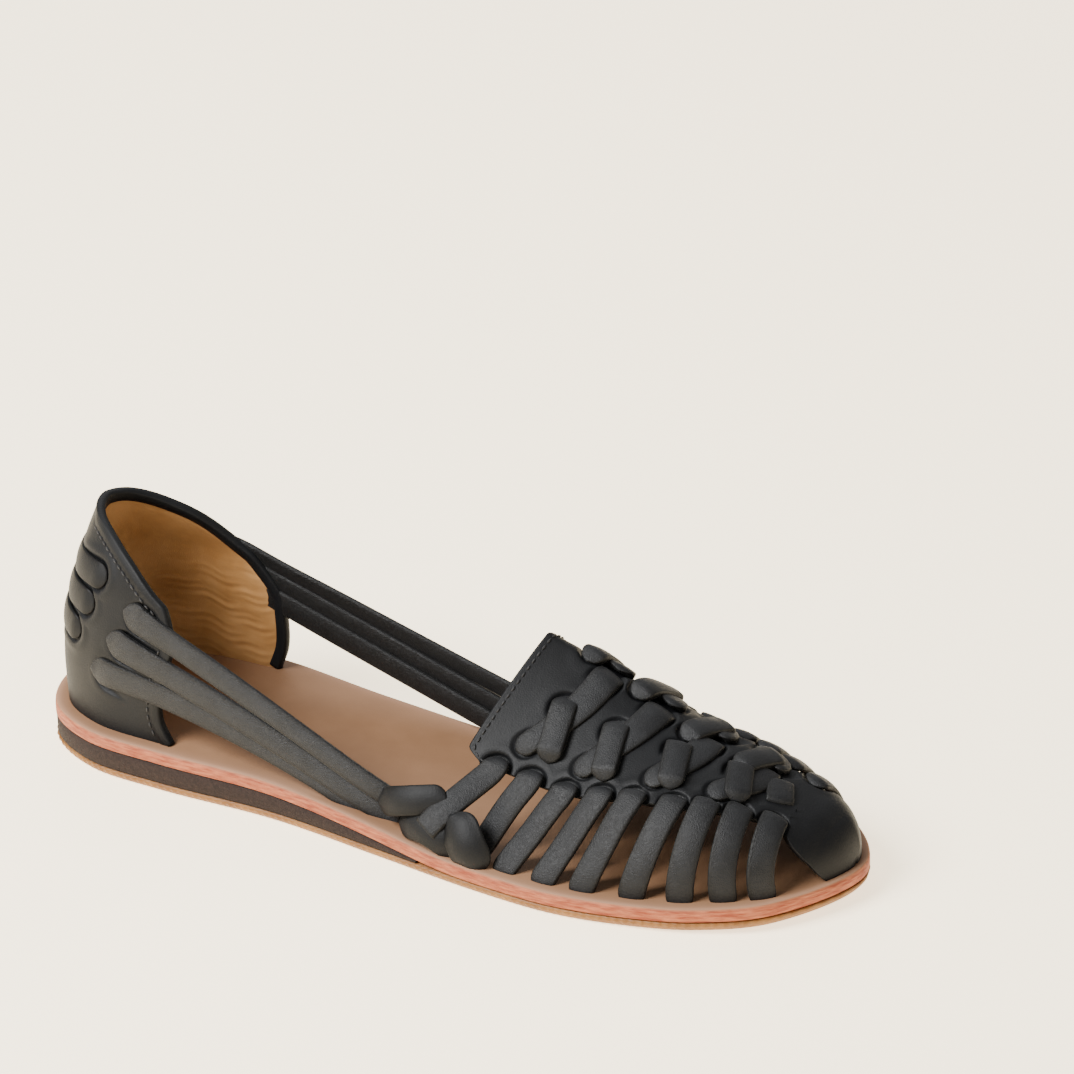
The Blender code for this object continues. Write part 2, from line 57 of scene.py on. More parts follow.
# Sizes that the frame was built to: the last, the layers under it and the leather round it
last = {
    "length": 0.254, "ballWidth": 0.0825, "heelWidth": 0.0655, "flare": (0.20, 0.52),
    "outsole": 0.0026, "wedge": 0.0058, "midsole": 0.0040, "gap": 0.0003, "toeSpring": 0.0024, "springStart": 0.70,
    "undercut": 0.0014, "wedgeBluntEnd": 0.0007, "sideMargin": 0.0046, "toeMargin": 0.0022, "margin": (0.9, 0.1),
    "instep": 0.0485, "toeRound": 0.0110, "toeBluntness": 2.2, "toeTipSide": 0.095,
    "counterHeight": 0.0720, "counterFront": 0.0535, "counterWall": 0.0022, "plugWall": 0.0020,
}
outlineSteps = 24  # points from one row of the sole to the next

# along; lateral and medial half widths, shares of the width there
soleRows = [
    (0.030, 0.310, 0.289), (0.100, 0.475, 0.465), (0.200, 0.510, 0.500), (0.350, 0.479, 0.409),
    (0.500, 0.494, 0.365), (0.620, 0.511, 0.399), (0.720, 0.515, 0.465), (0.800, 0.480, 0.490),
    (0.880, 0.406, 0.462), (0.950, 0.259, 0.348),
]
# along; share of the wedge's thickness
wedgeRows = [
    (0.00, 1.00), (0.24, 1.00), (0.34, 0.92), (0.43, 0.70), (0.49, 0.47), (0.54, 0.22), (0.58, 0.06), (0.62, 0.00),
]
# along; crown, ridge, lateral and medial exponents of the section
vampRows = [
    (0.57, 1.101, 0.109, 1.12, 1.60), (0.62, 0.985, 0.113, 1.12, 1.75), (0.68, 0.854, 0.112, 1.16, 1.90),
    (0.74, 0.724, 0.097, 1.35, 2.00), (0.80, 0.600, 0.080, 1.80, 2.05), (0.86, 0.511, 0.078, 2.20, 2.12),
    (0.92, 0.385, 0.092, 2.45, 2.15), (0.97, 0.281, 0.120, 2.60, 2.15),
]
# along; lateral and medial edge of the plug, shares of the way round
plugRows = [
    (0.570, 0.200, 0.800), (0.620, 0.215, 0.790), (0.700, 0.225, 0.775), (0.780, 0.262, 0.745),
    (0.830, 0.280, 0.725), (0.880, 0.310, 0.715), (0.930, 0.330, 0.705), (0.955, 0.300, 0.725),
]
# level; back lean, half widths and front reach, lateral and medial
counterRows = [
    (0.18, -0.012, 1.00, 1.00, 1.01, 1.01), (0.26, -0.017, 1.00, 1.01, 0.95, 1.05),
    (0.42, -0.016, 1.00, 1.01, 0.96, 1.06), (0.56, 0.006, 0.98, 0.98, 1.02, 1.05),
    (0.70, 0.047, 0.92, 0.91, 1.07, 0.98), (0.80, 0.084, 0.86, 0.79, 1.08, 0.95),
    (0.89, 0.114, 0.76, 0.65, 1.08, 0.95), (1.00, 0.160, 0.61, 0.50, 1.08, 0.95),
]
# way round; height of the topline, lateral and medial
toplineRows = [
    (0.00, 1.000, 1.000), (0.25, 0.995, 0.985), (0.50, 0.955, 0.925), (0.70, 0.880, 0.840),
    (0.85, 0.790, 0.730), (0.95, 0.725, 0.640), (1.00, 0.670, 0.550),
]


def hermite(t, first, second, firstSlope, secondSlope):
    return (
        (2 * t**3 - 3 * t**2 + 1) * first + (t**3 - 2 * t**2 + t) * firstSlope
        + (3 * t**2 - 2 * t**3) * second + (t**3 - t**2) * secondSlope
    )


# A smooth curve through one column of a table
def share(along, rows, column):
    stations = np.array([row[0] for row in rows])
    values = np.array([row[column] for row in rows])
    slopes = np.gradient(values, stations)
    x = np.clip(along, stations[0], stations[-1])
    i = np.clip(np.searchsorted(stations, x) - 1, 0, len(stations) - 2)
    span = stations[i + 1] - stations[i]
    return hermite((x - stations[i]) / span, values[i], values[i + 1], span * slopes[i], span * slopes[i + 1])


def ease(value, start=0.0, span=1.0):
    value = np.clip((value - start) / span, 0, 1)
    return value * value * (3 - 2 * value)


# A ramp is its full amount, where it starts and how long it takes
def amount(value, ramp):
    return ramp[0] * ease(value, *ramp[1:])


def widthAt(along):
    return last["heelWidth"] + (last["ballWidth"] - last["heelWidth"]) * ease(along, *last["flare"])


def unit(vectors):
    return vectors / np.linalg.norm(vectors, axis=-1)[..., None]


# This many rows at equal distances along a path, whose first columns are the point
def evenRows(path, count, dimensions):
    steps = np.linalg.norm(np.diff(path[:, :dimensions], axis=0), axis=1)
    length = np.concatenate([[0], np.cumsum(steps)])
    wanted = np.linspace(0, length[-1], count)
    return np.stack([np.interp(wanted, length, column) for column in path.T], 1)


# A closed curve through the points that doesn't overshoot where they are uneven
def roundedLoop(points, steps):
    points = np.array(points)
    count = len(points)
    curve = []
    for i in range(count):
        p0, p1, p2, p3 = (points[(i + k) % count] for k in (-1, 0, 1, 2))
        d01, d12, d23 = (np.linalg.norm(b - a) ** 0.5 for a, b in ((p0, p1), (p1, p2), (p2, p3)))
        m1 = ((p1 - p0) / d01 - (p2 - p0) / (d01 + d12) + (p2 - p1) / d12) * d12
        m2 = ((p2 - p1) / d12 - (p3 - p1) / (d12 + d23) + (p3 - p2) / d23) * d12
        curve += [hermite(t, p1, p2, m1, m2) for t in np.linspace(0, 1, steps, endpoint=False)]
    return np.array(curve)


def soleLoop():
    lateral = [(a * last["length"], -lat * widthAt(a)) for a, lat, med in soleRows]
    medial = [(a * last["length"], med * widthAt(a)) for a, lat, med in soleRows]
    tip = (last["length"], last["toeTipSide"] * last["ballWidth"])
    return roundedLoop([(0, 0)] + lateral + [tip] + medial[::-1], outlineSteps)


def inwardOf(loop):
    along = unit(np.roll(loop, -1, 0) - np.roll(loop, 1, 0))
    return np.stack([-along[:, 1], along[:, 0]], 1)


# The outline's lateral and medial sides, heel to toe, moved in by what insetAt gives
def soleSides(insetAt):
    loop = soleLoop()
    loop = loop + inwardOf(loop) * insetAt(loop[:, 0])[:, None]
    loop = np.roll(loop, -int(np.argmin(loop[:, 0])), 0)
    toe = int(np.argmax(loop[:, 0]))
    return loop[: toe + 1], np.vstack([loop[toe:], loop[:1]])[::-1]


def atX(side, x):
    return np.interp(x, side[:, 0], side[:, 1])


def springAt(x):
    forward = (x / last["length"] - last["springStart"]) / (1 - last["springStart"])
    return last["toeSpring"] * np.clip(forward, 0, 1) ** 2


def outsoleTop(x):
    return springAt(x) + last["outsole"]


def midsoleBottom(x):
    return outsoleTop(x) + last["gap"] + last["wedge"] * share(x / last["length"], wedgeRows, 1)


def footbed(x):
    return midsoleBottom(x) + last["midsole"]


def marginAt(x):
    forward = ease(x / last["length"], *last["margin"])
    return last["sideMargin"] + (last["toeMargin"] - last["sideMargin"]) * forward


outline = soleLoop()
shift = np.array([
    (cadLow[0] + cadHigh[0] - outline[:, 0].min() - outline[:, 0].max()) / 2,
    (cadLow[1] + cadHigh[1] - outline[:, 1].min() - outline[:, 1].max()) / 2,
    0.0,
])
lastLateral, lastMedial = soleSides(marginAt)
lastBack, lastTip = lastLateral[0, 0], lastLateral[-1, 0]


# The upper's outer face across the foot, from the lateral foot of it to the medial
def section(x, count=81):
    along = x / last["length"]
    closing = np.clip((x - (lastTip - last["toeRound"])) / last["toeRound"], 0, 1)
    closed = (1 - closing ** last["toeBluntness"]) ** (1 / last["toeBluntness"])
    crown = last["instep"] * share(along, vampRows, 1) * closed
    lateral, medial = atX(lastLateral, x), atX(lastMedial, x)
    ridge = np.clip(last["ballWidth"] * share(along, vampRows, 2), lateral, medial)
    angle = np.linspace(0, np.pi, count)
    across = np.abs(np.cos(angle))
    rise = np.clip(np.sin(angle), 0, 1)
    near = angle <= np.pi / 2
    power = np.where(near, 2 / share(along, vampRows, 3), 2 / share(along, vampRows, 4))
    side = np.where(near, lateral - ridge, medial - ridge)
    return np.stack([np.full(count, x), ridge + side * across**power, footbed(x) + crown * rise**power], 1)


# The vamp's face is worked out once as a table, closer towards the toe, and then looked up
vampGrid = {
    "start": 0.54, "tipGap": 0.00002, "rows": 500, "columns": 241, "crowding": 1.6,
    "stepAcross": 0.02, "stepForward": 0.001, "normalEnd": 0.0015,
}
vampBack = vampGrid["start"] * last["length"]
vampFront = lastTip - vampGrid["tipGap"]
vampForward = 1 - (1 - np.linspace(0, 1, vampGrid["rows"])) ** vampGrid["crowding"]
vampX = vampBack + (vampFront - vampBack) * vampForward
vampTable = np.array([evenRows(section(x), vampGrid["columns"], 3) for x in vampX])


# t goes from 0 at the lateral foot of the vamp to 1 at the medial
def onVamp(x, t):
    spans = vampGrid["columns"] - 1
    x, t = np.broadcast_arrays(np.clip(x, vampX[0], vampX[-1]), np.clip(t, 0, 1) * spans)
    i = np.clip(np.searchsorted(vampX, x) - 1, 0, len(vampX) - 2)
    j = np.clip(t.astype(int), 0, spans - 1)
    a = ((x - vampX[i]) / (vampX[i + 1] - vampX[i]))[..., None]
    b = (t - j)[..., None]
    back = vampTable[i, j] * (1 - b) + vampTable[i, j + 1] * b
    front = vampTable[i + 1, j] * (1 - b) + vampTable[i + 1, j + 1] * b
    return back * (1 - a) + front * a


def vampNormal(x, t):
    x = np.minimum(x, lastTip - vampGrid["normalEnd"])
    sideways, ahead = vampGrid["stepAcross"], vampGrid["stepForward"]
    across = onVamp(x, np.minimum(t + sideways, 1)) - onVamp(x, np.maximum(t - sideways, 0))
    forward = onVamp(x + ahead, t) - onVamp(x - ahead, t)
    return unit(np.cross(forward, across))


# way goes round the heel: -1 at the lateral front edge, 0 at the back, 1 at the medial front edge
counterForm = {"basePoints": 301, "blendWay": 0.2, "middle": 0.7, "stepWay": 0.03, "stepHeight": 0.002}


def baseLine(side):
    return evenRows(side[side[:, 0] <= last["counterFront"]], counterForm["basePoints"], 2)


baseTable = np.vstack([baseLine(lastLateral)[::-1], baseLine(lastMedial)[1:]])
baseWays = np.linspace(-1, 1, len(baseTable))


def basePoint(way):
    return np.interp(way, baseWays, baseTable[:, 0]), np.interp(way, baseWays, baseTable[:, 1])


def onCounter(way, height):
    x, y = basePoint(way)
    level = height / last["counterHeight"]
    side = 0.5 + 0.5 * np.sin(np.clip(way / counterForm["blendWay"], -1, 1) * np.pi / 2)
    back = lastBack + last["heelWidth"] * share(level, counterRows, 1)
    narrow = (1 - side) * share(level, counterRows, 2) + side * share(level, counterRows, 3)
    front = (1 - side) * share(level, counterRows, 4) + side * share(level, counterRows, 5)
    reach = (x - lastBack) / (last["counterFront"] - lastBack)
    x = back + reach * (last["counterFront"] * (1 + (front - 1) * reach) - back)
    return np.stack(np.broadcast_arrays(x, y * narrow, height), -1)


def counterNormal(way, height):
    aside, above = counterForm["stepWay"], counterForm["stepHeight"]
    around = onCounter(min(way + aside, 1), height) - onCounter(max(way - aside, -1), height)
    up = onCounter(way, height + above) - onCounter(way, height - above)
    normal = unit(np.cross(up, around))
    x, y = basePoint(way)
    outward = normal[0] * (x - last["counterFront"] * counterForm["middle"]) + normal[1] * y
    return normal if outward > 0 else -normal


def topline(way):
    low, high = share(np.abs(way), toplineRows, 1), share(np.abs(way), toplineRows, 2)
    return last["counterHeight"] * np.where(way < 0, low, high)


# Shared surface effects

# scales are per metre; bend is how far the cells are pushed about, crease how wide their edges are
grainSizes = {
    "cells": 1400.0, "fibres": 3200.0, "clouds": 60.0, "wander": 300.0, "bend": 0.0012, "crease": 0.35,
    "fibreShare": 0.6, "mottle": (0.35, 0.68), "sheenRough": 0.4,
}


def socketOf(group, name, kind, direction, value=None):
    made = group.interface.new_socket(name=name, in_out=direction, socket_type=kind)
    if value is not None:
        made.default_value = value
    return made


# A value goes to the input of that name, and otherwise to the node's own setting
def addNode(tree, kind, place, **values):
    made = tree.nodes.new(kind)
    made.location = place
    for name, value in values.items():
        if name in made.inputs:
            made.inputs[name].default_value = value
        else:
            setattr(made, name, value)
    return made


def joinNodes(tree, rows):
    for before, output, after, entry in rows:
        tree.links.new(before.outputs[output], after.inputs[entry])


def setInputs(node, values):
    for name, value in values.items():
        node.inputs[name].default_value = value


grainInputs = {"Cell Scale": "cells", "Fibre Scale": "fibres", "Cloud Scale": "clouds"}


def makeGrainGroup():
    group = bpy.data.node_groups.new("leatherGrain", "ShaderNodeTree")
    socketOf(group, "Vector", "NodeSocketVector", "INPUT")
    for name, size in grainInputs.items():
        socketOf(group, name, "NodeSocketFloat", "INPUT", grainSizes[size])
    socketOf(group, "Height", "NodeSocketFloat", "OUTPUT")
    socketOf(group, "Mottle", "NodeSocketFloat", "OUTPUT")
    source = addNode(group, "NodeGroupInput", (-900, 0))
    sink = addNode(group, "NodeGroupOutput", (500, 0))
    wander = addNode(group, "ShaderNodeTexNoise", (-700, -300), Scale=grainSizes["wander"], Detail=2.0)
    bend = addNode(group, "ShaderNodeVectorMath", (-500, -200), operation="MULTIPLY_ADD")
    bend.inputs[1].default_value = [grainSizes["bend"]] * 3
    cells = addNode(group, "ShaderNodeTexVoronoi", (-300, 100), feature="DISTANCE_TO_EDGE")
    cellEdge = addNode(group, "ShaderNodeMapRange", (-100, 100))
    cellEdge.inputs["From Max"].default_value = grainSizes["crease"]
    fibre = addNode(group, "ShaderNodeTexNoise", (-300, -150), Detail=3.0, Roughness=0.6)
    cloud = addNode(group, "ShaderNodeTexNoise", (-300, -400), Detail=4.0, Roughness=0.55)
    mix = addNode(group, "ShaderNodeMath", (100, 50), operation="MULTIPLY_ADD")
    mix.inputs[1].default_value = grainSizes["fibreShare"]
    joinNodes(group, [
        (source, "Vector", wander, "Vector"), (wander, "Color", bend, 0), (source, "Vector", bend, 2),
        (bend, 0, cells, "Vector"), (source, "Cell Scale", cells, "Scale"), (cells, "Distance", cellEdge, "Value"),
        (source, "Vector", fibre, "Vector"), (source, "Fibre Scale", fibre, "Scale"),
        (source, "Vector", cloud, "Vector"), (source, "Cloud Scale", cloud, "Scale"),
        (fibre, "Fac", mix, 0), (cellEdge, "Result", mix, 2), (mix, 0, sink, "Height"),
        (cloud, "Fac", sink, "Mottle"),
    ])
    return group


grainGroup = makeGrainGroup()


def leatherMaterial(name, finish):
    made = bpy.data.materials.new(name)
    made.use_nodes = True
    tree = made.node_tree
    shader = tree.nodes["Principled BSDF"]
    place = addNode(tree, "ShaderNodeTexCoord", (-1200, 0))
    stretch = addNode(tree, "ShaderNodeMapping", (-1000, 0))
    stretch.inputs["Scale"].default_value = finish.get("stretch", (1, 1, 1))
    grain = addNode(tree, "ShaderNodeGroup", (-800, 0))
    grain.node_tree = grainGroup
    setInputs(grain, {name: finish[size] for name, size in grainInputs.items()})
    ramp = addNode(tree, "ShaderNodeValToRGB", (-500, 200))
    for stop, position, colour in zip(ramp.color_ramp.elements, grainSizes["mottle"], ("dark", "light")):
        stop.position = position
        stop.color = (*finish[colour], 1)
    rough = addNode(tree, "ShaderNodeMapRange", (-500, -100))
    setInputs(rough, {"To Min": finish["rough"][0], "To Max": finish["rough"][1]})
    bump = addNode(tree, "ShaderNodeBump", (-300, -300), Strength=finish["bump"], Distance=finish["depth"])
    joinNodes(tree, [
        (place, "Object", stretch, "Vector"), (stretch, "Vector", grain, "Vector"), (grain, "Mottle", ramp, "Fac"),
        (grain, "Mottle", rough, "Value"), (rough, "Result", shader, "Roughness"), (grain, "Height", bump, "Height"),
        (bump, "Normal", shader, "Normal"),
    ])
    colour = ramp.outputs["Color"]
    if "edge" in finish:  # the rim attribute paints the edges: painted shade darkens the straps' and bands' edges, a painted highlight lightens the footbed's rounded edge
        rim = addNode(tree, "ShaderNodeAttribute", (-700, 450), attribute_name="rim")
        tint = addNode(tree, "ShaderNodeMix", (-200, 300), data_type="RGBA")
        tint.inputs["B"].default_value = (*finish["edge"], 1)
        tree.links.new(rim.outputs["Fac"], tint.inputs["Factor"])
        tree.links.new(colour, tint.inputs["A"])
        colour = tint.outputs["Result"]
    tree.links.new(colour, shader.inputs["Base Color"])
    shader.inputs["Specular IOR Level"].default_value = finish["shine"]
    if "sheen" in finish:
        setInputs(shader, {"Sheen Weight": finish["sheen"], "Sheen Roughness": grainSizes["sheenRough"]})
    return made


# Colours of the mottle and of the rims (painted shade on strap edges, painted highlight on the footbed's edge),
# scales of the grain per metre, rough from and to, height of the bump
finishes = {
    "upperLeather": {
        # edge: painted shade along the edges of the braid pieces and back bands
        "dark": (0.0040, 0.0043, 0.0049), "light": (0.0076, 0.0081, 0.0091), "edge": (0.004, 0.004, 0.004),
        "cells": 1500.0, "fibres": 4200.0, "clouds": 45.0, "rough": (0.44, 0.58), "bump": 0.25, "depth": 0.00012,
        "shine": 0.16,
    },
    "strapLeather": {
        # edge: painted shade along the straps' edges and between them
        "dark": (0.0068, 0.0073, 0.0084), "light": (0.0122, 0.0131, 0.0150), "edge": (0.003, 0.003, 0.003),
        "cells": 1900.0, "fibres": 4200.0, "clouds": 160.0, "rough": (0.46, 0.62), "bump": 0.6, "depth": 0.00016,
        "shine": 0.30, "sheen": 0.03,
    },
    "stripLeather": {
        # edge: painted shade along the edges of the strips and woven bands
        "dark": (0.0046, 0.0049, 0.0057), "light": (0.0088, 0.0094, 0.0106), "edge": (0.003, 0.003, 0.003),
        "cells": 1900.0, "fibres": 4200.0, "clouds": 160.0, "rough": (0.44, 0.60), "bump": 0.45, "depth": 0.00014,
        "shine": 0.26, "sheen": 0.02,
    },
    "lining": {
        "dark": (0.31, 0.150, 0.047), "light": (0.43, 0.230, 0.086),
        "cells": 1900.0, "fibres": 4200.0, "clouds": 55.0, "rough": (0.55, 0.70), "bump": 0.25, "depth": 0.0001,
        "shine": 0.35,
    },
    "footbed": {
        # edge: painted highlight on the footbed's rounded edge
        "dark": (0.185, 0.094, 0.045), "light": (0.235, 0.125, 0.064), "edge": (0.31, 0.170, 0.100),
        "cells": 1700.0, "fibres": 3600.0, "clouds": 30.0, "rough": (0.58, 0.72), "bump": 0.18, "depth": 0.0001,
        "shine": 0.3,
    },
    "cutEdge": {
        # edge: painted highlight where the midsole's side rounds into the footbed
        "dark": (0.225, 0.042, 0.017), "light": (0.42, 0.142, 0.068), "edge": (0.32, 0.145, 0.075),
        "cells": 900.0, "fibres": 1500.0, "clouds": 620.0, "rough": (0.55, 0.75), "bump": 0.5, "depth": 0.0002,
        "shine": 0.3, "stretch": (0.3, 0.3, 2.2),
    },
    "wedgeRubber": {
        "dark": (0.014, 0.0080, 0.0065), "light": (0.026, 0.0155, 0.0125),
        "cells": 1100.0, "fibres": 2200.0, "clouds": 900.0, "rough": (0.75, 0.9), "bump": 0.5, "depth": 0.0002,
        "shine": 0.25,
    },
    "honeyRubber": {
        "dark": (0.165, 0.062, 0.009), "light": (0.245, 0.105, 0.022),
        "cells": 700.0, "fibres": 1500.0, "clouds": 90.0, "rough": (0.45, 0.6), "bump": 0.25, "depth": 0.00015,
        "shine": 0.4,
    },
    "thread": {
        "dark": (0.008, 0.008, 0.009), "light": (0.016, 0.016, 0.018),
        "cells": 3000.0, "fibres": 7000.0, "clouds": 300.0, "rough": (0.5, 0.6), "bump": 0.5, "depth": 0.0001,
        "shine": 0.4,
    },
}
looks = {name: leatherMaterial(name, finish) for name, finish in finishes.items()}
print("materials made")

# Mesh helpers


def linkNew(name, data):
    made = bpy.data.objects.new(name, data)
    bpy.context.scene.collection.objects.link(made)
    return made


def faceOutwards(data, weld=None):
    work = bmesh.new()
    work.from_mesh(data)
    if weld:
        bmesh.ops.remove_doubles(work, verts=work.verts, dist=weld)
    bmesh.ops.recalc_face_normals(work, faces=work.faces)
    work.to_mesh(data)
    work.free()


# Every piece of the shoe goes through here, or through stitchPiece
def makePiece(
    name, points, faces, materials=("upperLeather",), replaced="upper",
    faceMaterial=None, rim=None,
):
    data = bpy.data.meshes.new(name)
    placed = np.asarray(points, dtype=float) + shift
    data.from_pydata([tuple(p) for p in placed], [], [tuple(int(k) for k in f) for f in faces])
    for made in materials:
        data.materials.append(looks[made])
    if faceMaterial is not None:
        data.polygons.foreach_set("material_index", np.asarray(faceMaterial, dtype=np.int32))
    if rim is not None:
        layer = data.attributes.new("rim", "FLOAT", "POINT")
        layer.data.foreach_set("value", np.asarray(rim, dtype=np.float32))
    data.update()
    data.shade_smooth()
    made = linkNew(name, data)
    faceOutwards(data)
    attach(made, "root")
    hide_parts(replaced)
    return made


# A smooth path through the rows, with this many points from one to the next
def catmull(points, parts):
    points = np.asarray(points, dtype=float)
    padded = np.vstack([2 * points[0] - points[1], points, 2 * points[-1] - points[-2]])
    result = []
    for i in range(1, len(padded) - 2):
        p0, p1, p2, p3 = padded[i - 1 : i + 3]
        for t in np.linspace(0, 1, parts, endpoint=False):
            result.append(
                0.5 * ((2 * p1) + (p2 - p0) * t + (2 * p0 - 5 * p1 + 4 * p2 - p3) * t**2
                       + (3 * p1 - p0 - 3 * p2 + p3) * t**3)
            )
    result.append(padded[-2])
    return np.array(result)


# The path in steps of about this length, and how long it is
def evenly(path, step):
    total = np.linalg.norm(np.diff(path[:, :3], axis=0), axis=1).cumsum()[-1]
    return evenRows(path, max(int(total / step), 6) + 1, 3), total


# Faces of a closed tube of rings, with both ends filled
def tubeFaces(rings, ring):
    faces = []
    for i in range(rings - 1):
        for j in range(ring):
            a, b = i * ring + j, i * ring + (j + 1) % ring
            faces.append((a, b, b + ring, a + ring))
    end = ring * (rings - 1)
    return faces + [tuple(range(ring))[::-1], tuple(end + j for j in range(ring))]


strapShape = {
    "edgeRound": 0.0006, "dome": 0.00035, "step": 0.0009, "across": 9, "rimPower": 6,
    "pathParts": 10, "leastPinch": 0.06,
}


# Across, down from the top, and how much of the edge colour, a painted shade along the strap's sides; widest at the
# rounded edges
def strapProfile(half, thick, dome, edgeRound):
    edgeRound = min(edgeRound, 0.45 * thick, 0.45 * half)
    flat = half - edgeRound
    low = -max(thick, dome + 1.2 * edgeRound)
    spots = np.linspace(-1, 1, strapShape["across"])
    top = [(a * flat, -dome * a * a, abs(a) ** strapShape["rimPower"]) for a in spots]
    edge = [
        (flat + edgeRound * np.sin(turn), -dome - edgeRound * (1 - np.cos(turn)), 1.0)
        for turn in np.radians((30, 60, 90))
    ]
    edge += [(half, low + 0.5 * edgeRound, 1.0), (flat, low, 1.0)]
    return top + edge + [(-across, down, rim) for across, down, rim in edge[::-1]]


def strapMesh(centres, normals, widths, thick, roundStart=True, roundEnd=False, dome=strapShape["dome"]):
    widths = np.broadcast_to(widths, len(centres))
    stations = np.hstack([np.asarray(centres), np.asarray(normals), np.asarray(widths)[:, None]])
    path, total = evenly(catmull(stations, strapShape["pathParts"]), strapShape["step"])
    length = np.linspace(0, total, len(path))
    centre, normal, width = path[:, :3], path[:, 3:6], path[:, 6]
    direction = unit(np.gradient(centre, axis=0))
    side = unit(np.cross(normal, direction))
    out = np.cross(direction, side)
    # rim: how much painted shade each point round the strap's edge takes
    points, rim = [], []
    for i in range(len(path)):
        half = width[i] / 2
        pinch = 1.0  # narrows the strap to a round end
        for rounded, toEnd in ((roundStart, length[i]), (roundEnd, total - length[i])):
            if rounded and toEnd < half:
                pinch *= np.sqrt(max(1 - (1 - toEnd / half) ** 2, 0.0))
        pinch = max(pinch, strapShape["leastPinch"])
        profile = strapProfile(half * pinch, thick * (0.5 + 0.5 * pinch), dome * pinch, strapShape["edgeRound"])
        for across, down, edge in profile:
            points.append(centre[i] + side[i] * across + out[i] * down)
            rim.append(edge)
    return points, tubeFaces(len(path), len(profile)), rim


def strapPiece(name, centres, normals, widths, thick, look="stripLeather", **ends):
    points, faces, rim = strapMesh(centres, normals, widths, thick, **ends)
    return makePiece(name, points, faces, [look], rim=rim)


# A slot's round end lies at the first centre, and the strap leaves it towards the second
slotShape = {
    "edge": 0.0003, "softness": 0.00045, "lipAt": 0.0024, "lipWide": 0.0013, "above": 0.006, "behind": 0.02,
    "shallow": 0.0002, "lipInside": 0.4,
}


def slotAt(centres, normals, width, reach, depth, swell=0.0003, lowerReach=None):
    start = np.array(centres[0])
    direction = unit(np.array(centres[1]) - start)
    side = unit(np.cross(normals[0], direction))
    return {
        "start": start + direction * width / 2, "direction": direction, "side": side, "normal": np.array(normals[0]),
        "half": width / 2, "reach": reach, "lowerReach": lowerReach or reach, "depth": depth, "swell": swell,
    }


# Each slot presses a groove round its strap and raises a low lip beside it; both fade along the strap
def pressSlots(points, normals, slots):
    pressed = np.zeros(points.shape[:-1])
    raised = np.zeros(points.shape[:-1])
    for cut in slots:
        away = points - cut["start"]
        u, v, w = (away @ cut[k] for k in ("direction", "side", "normal"))
        r = np.where(u < 0, np.hypot(u, v), np.abs(v)) - cut["half"]
        near = (np.abs(w) < slotShape["above"]) & (u > -slotShape["behind"])
        reach = np.where(v * np.sign(cut["side"][2]) < 0, cut["lowerReach"], cut["reach"])
        fade = np.where(near, 1 - ease(u / reach), 0)
        beyond = r - slotShape["edge"]
        groove = np.where(beyond < 0, 1.0, np.exp(-((beyond / slotShape["softness"]) ** 2)))
        lip = np.exp(-(((r - slotShape["lipAt"]) / slotShape["lipWide"]) ** 2))
        pressed = np.maximum(pressed, cut["depth"] * groove * fade)
        raised = np.maximum(raised, cut["swell"] * lip * fade)
    raised = np.where(pressed < slotShape["shallow"], raised, raised * slotShape["lipInside"])
    return points + normals * (raised - pressed)[..., None]


def gridNormals(points, outward):
    normal = np.cross(np.gradient(points, axis=0), np.gradient(points, axis=1))
    size = np.linalg.norm(normal, axis=2)[..., None]
    normal = normal / np.maximum(size, 1e-12)
    return normal * np.sign((normal * outward).sum(2).mean())


def gridFaces(rows, columns, start=0):
    return [
        (start + i * columns + j, start + i * columns + j + 1,
         start + (i + 1) * columns + j + 1, start + (i + 1) * columns + j)
        for i in range(rows - 1) for j in range(columns - 1)
    ]


# Two grids of the same size, joined round their border
def wallPiece(name, outer, inner, look="upperLeather"):
    rows, columns = outer.shape[:2]
    count = rows * columns
    points = np.vstack([outer.reshape(-1, 3), inner.reshape(-1, 3)])
    faces = gridFaces(rows, columns) + [face[::-1] for face in gridFaces(rows, columns, count)]
    border = list(range(columns)) + [i * columns + columns - 1 for i in range(1, rows)]
    border += [(rows - 1) * columns + j for j in range(columns - 2, -1, -1)]
    border += [i * columns for i in range(rows - 2, 0, -1)]
    faces += [(a, b, b + count, a + count) for a, b in zip(border, border[1:] + border[:1])]
    return makePiece(name, points, faces, [look])


# Sole

sole = {"stations": 200, "columns": 40, "plainColumns": 6, "rimFade": 0.0016, "endSpread": 0.6, "weld": 0.00001}
tread = {"stations": 560, "depth": 0.00022, "waves": 2700}  # fine ribs round the outsole's edge
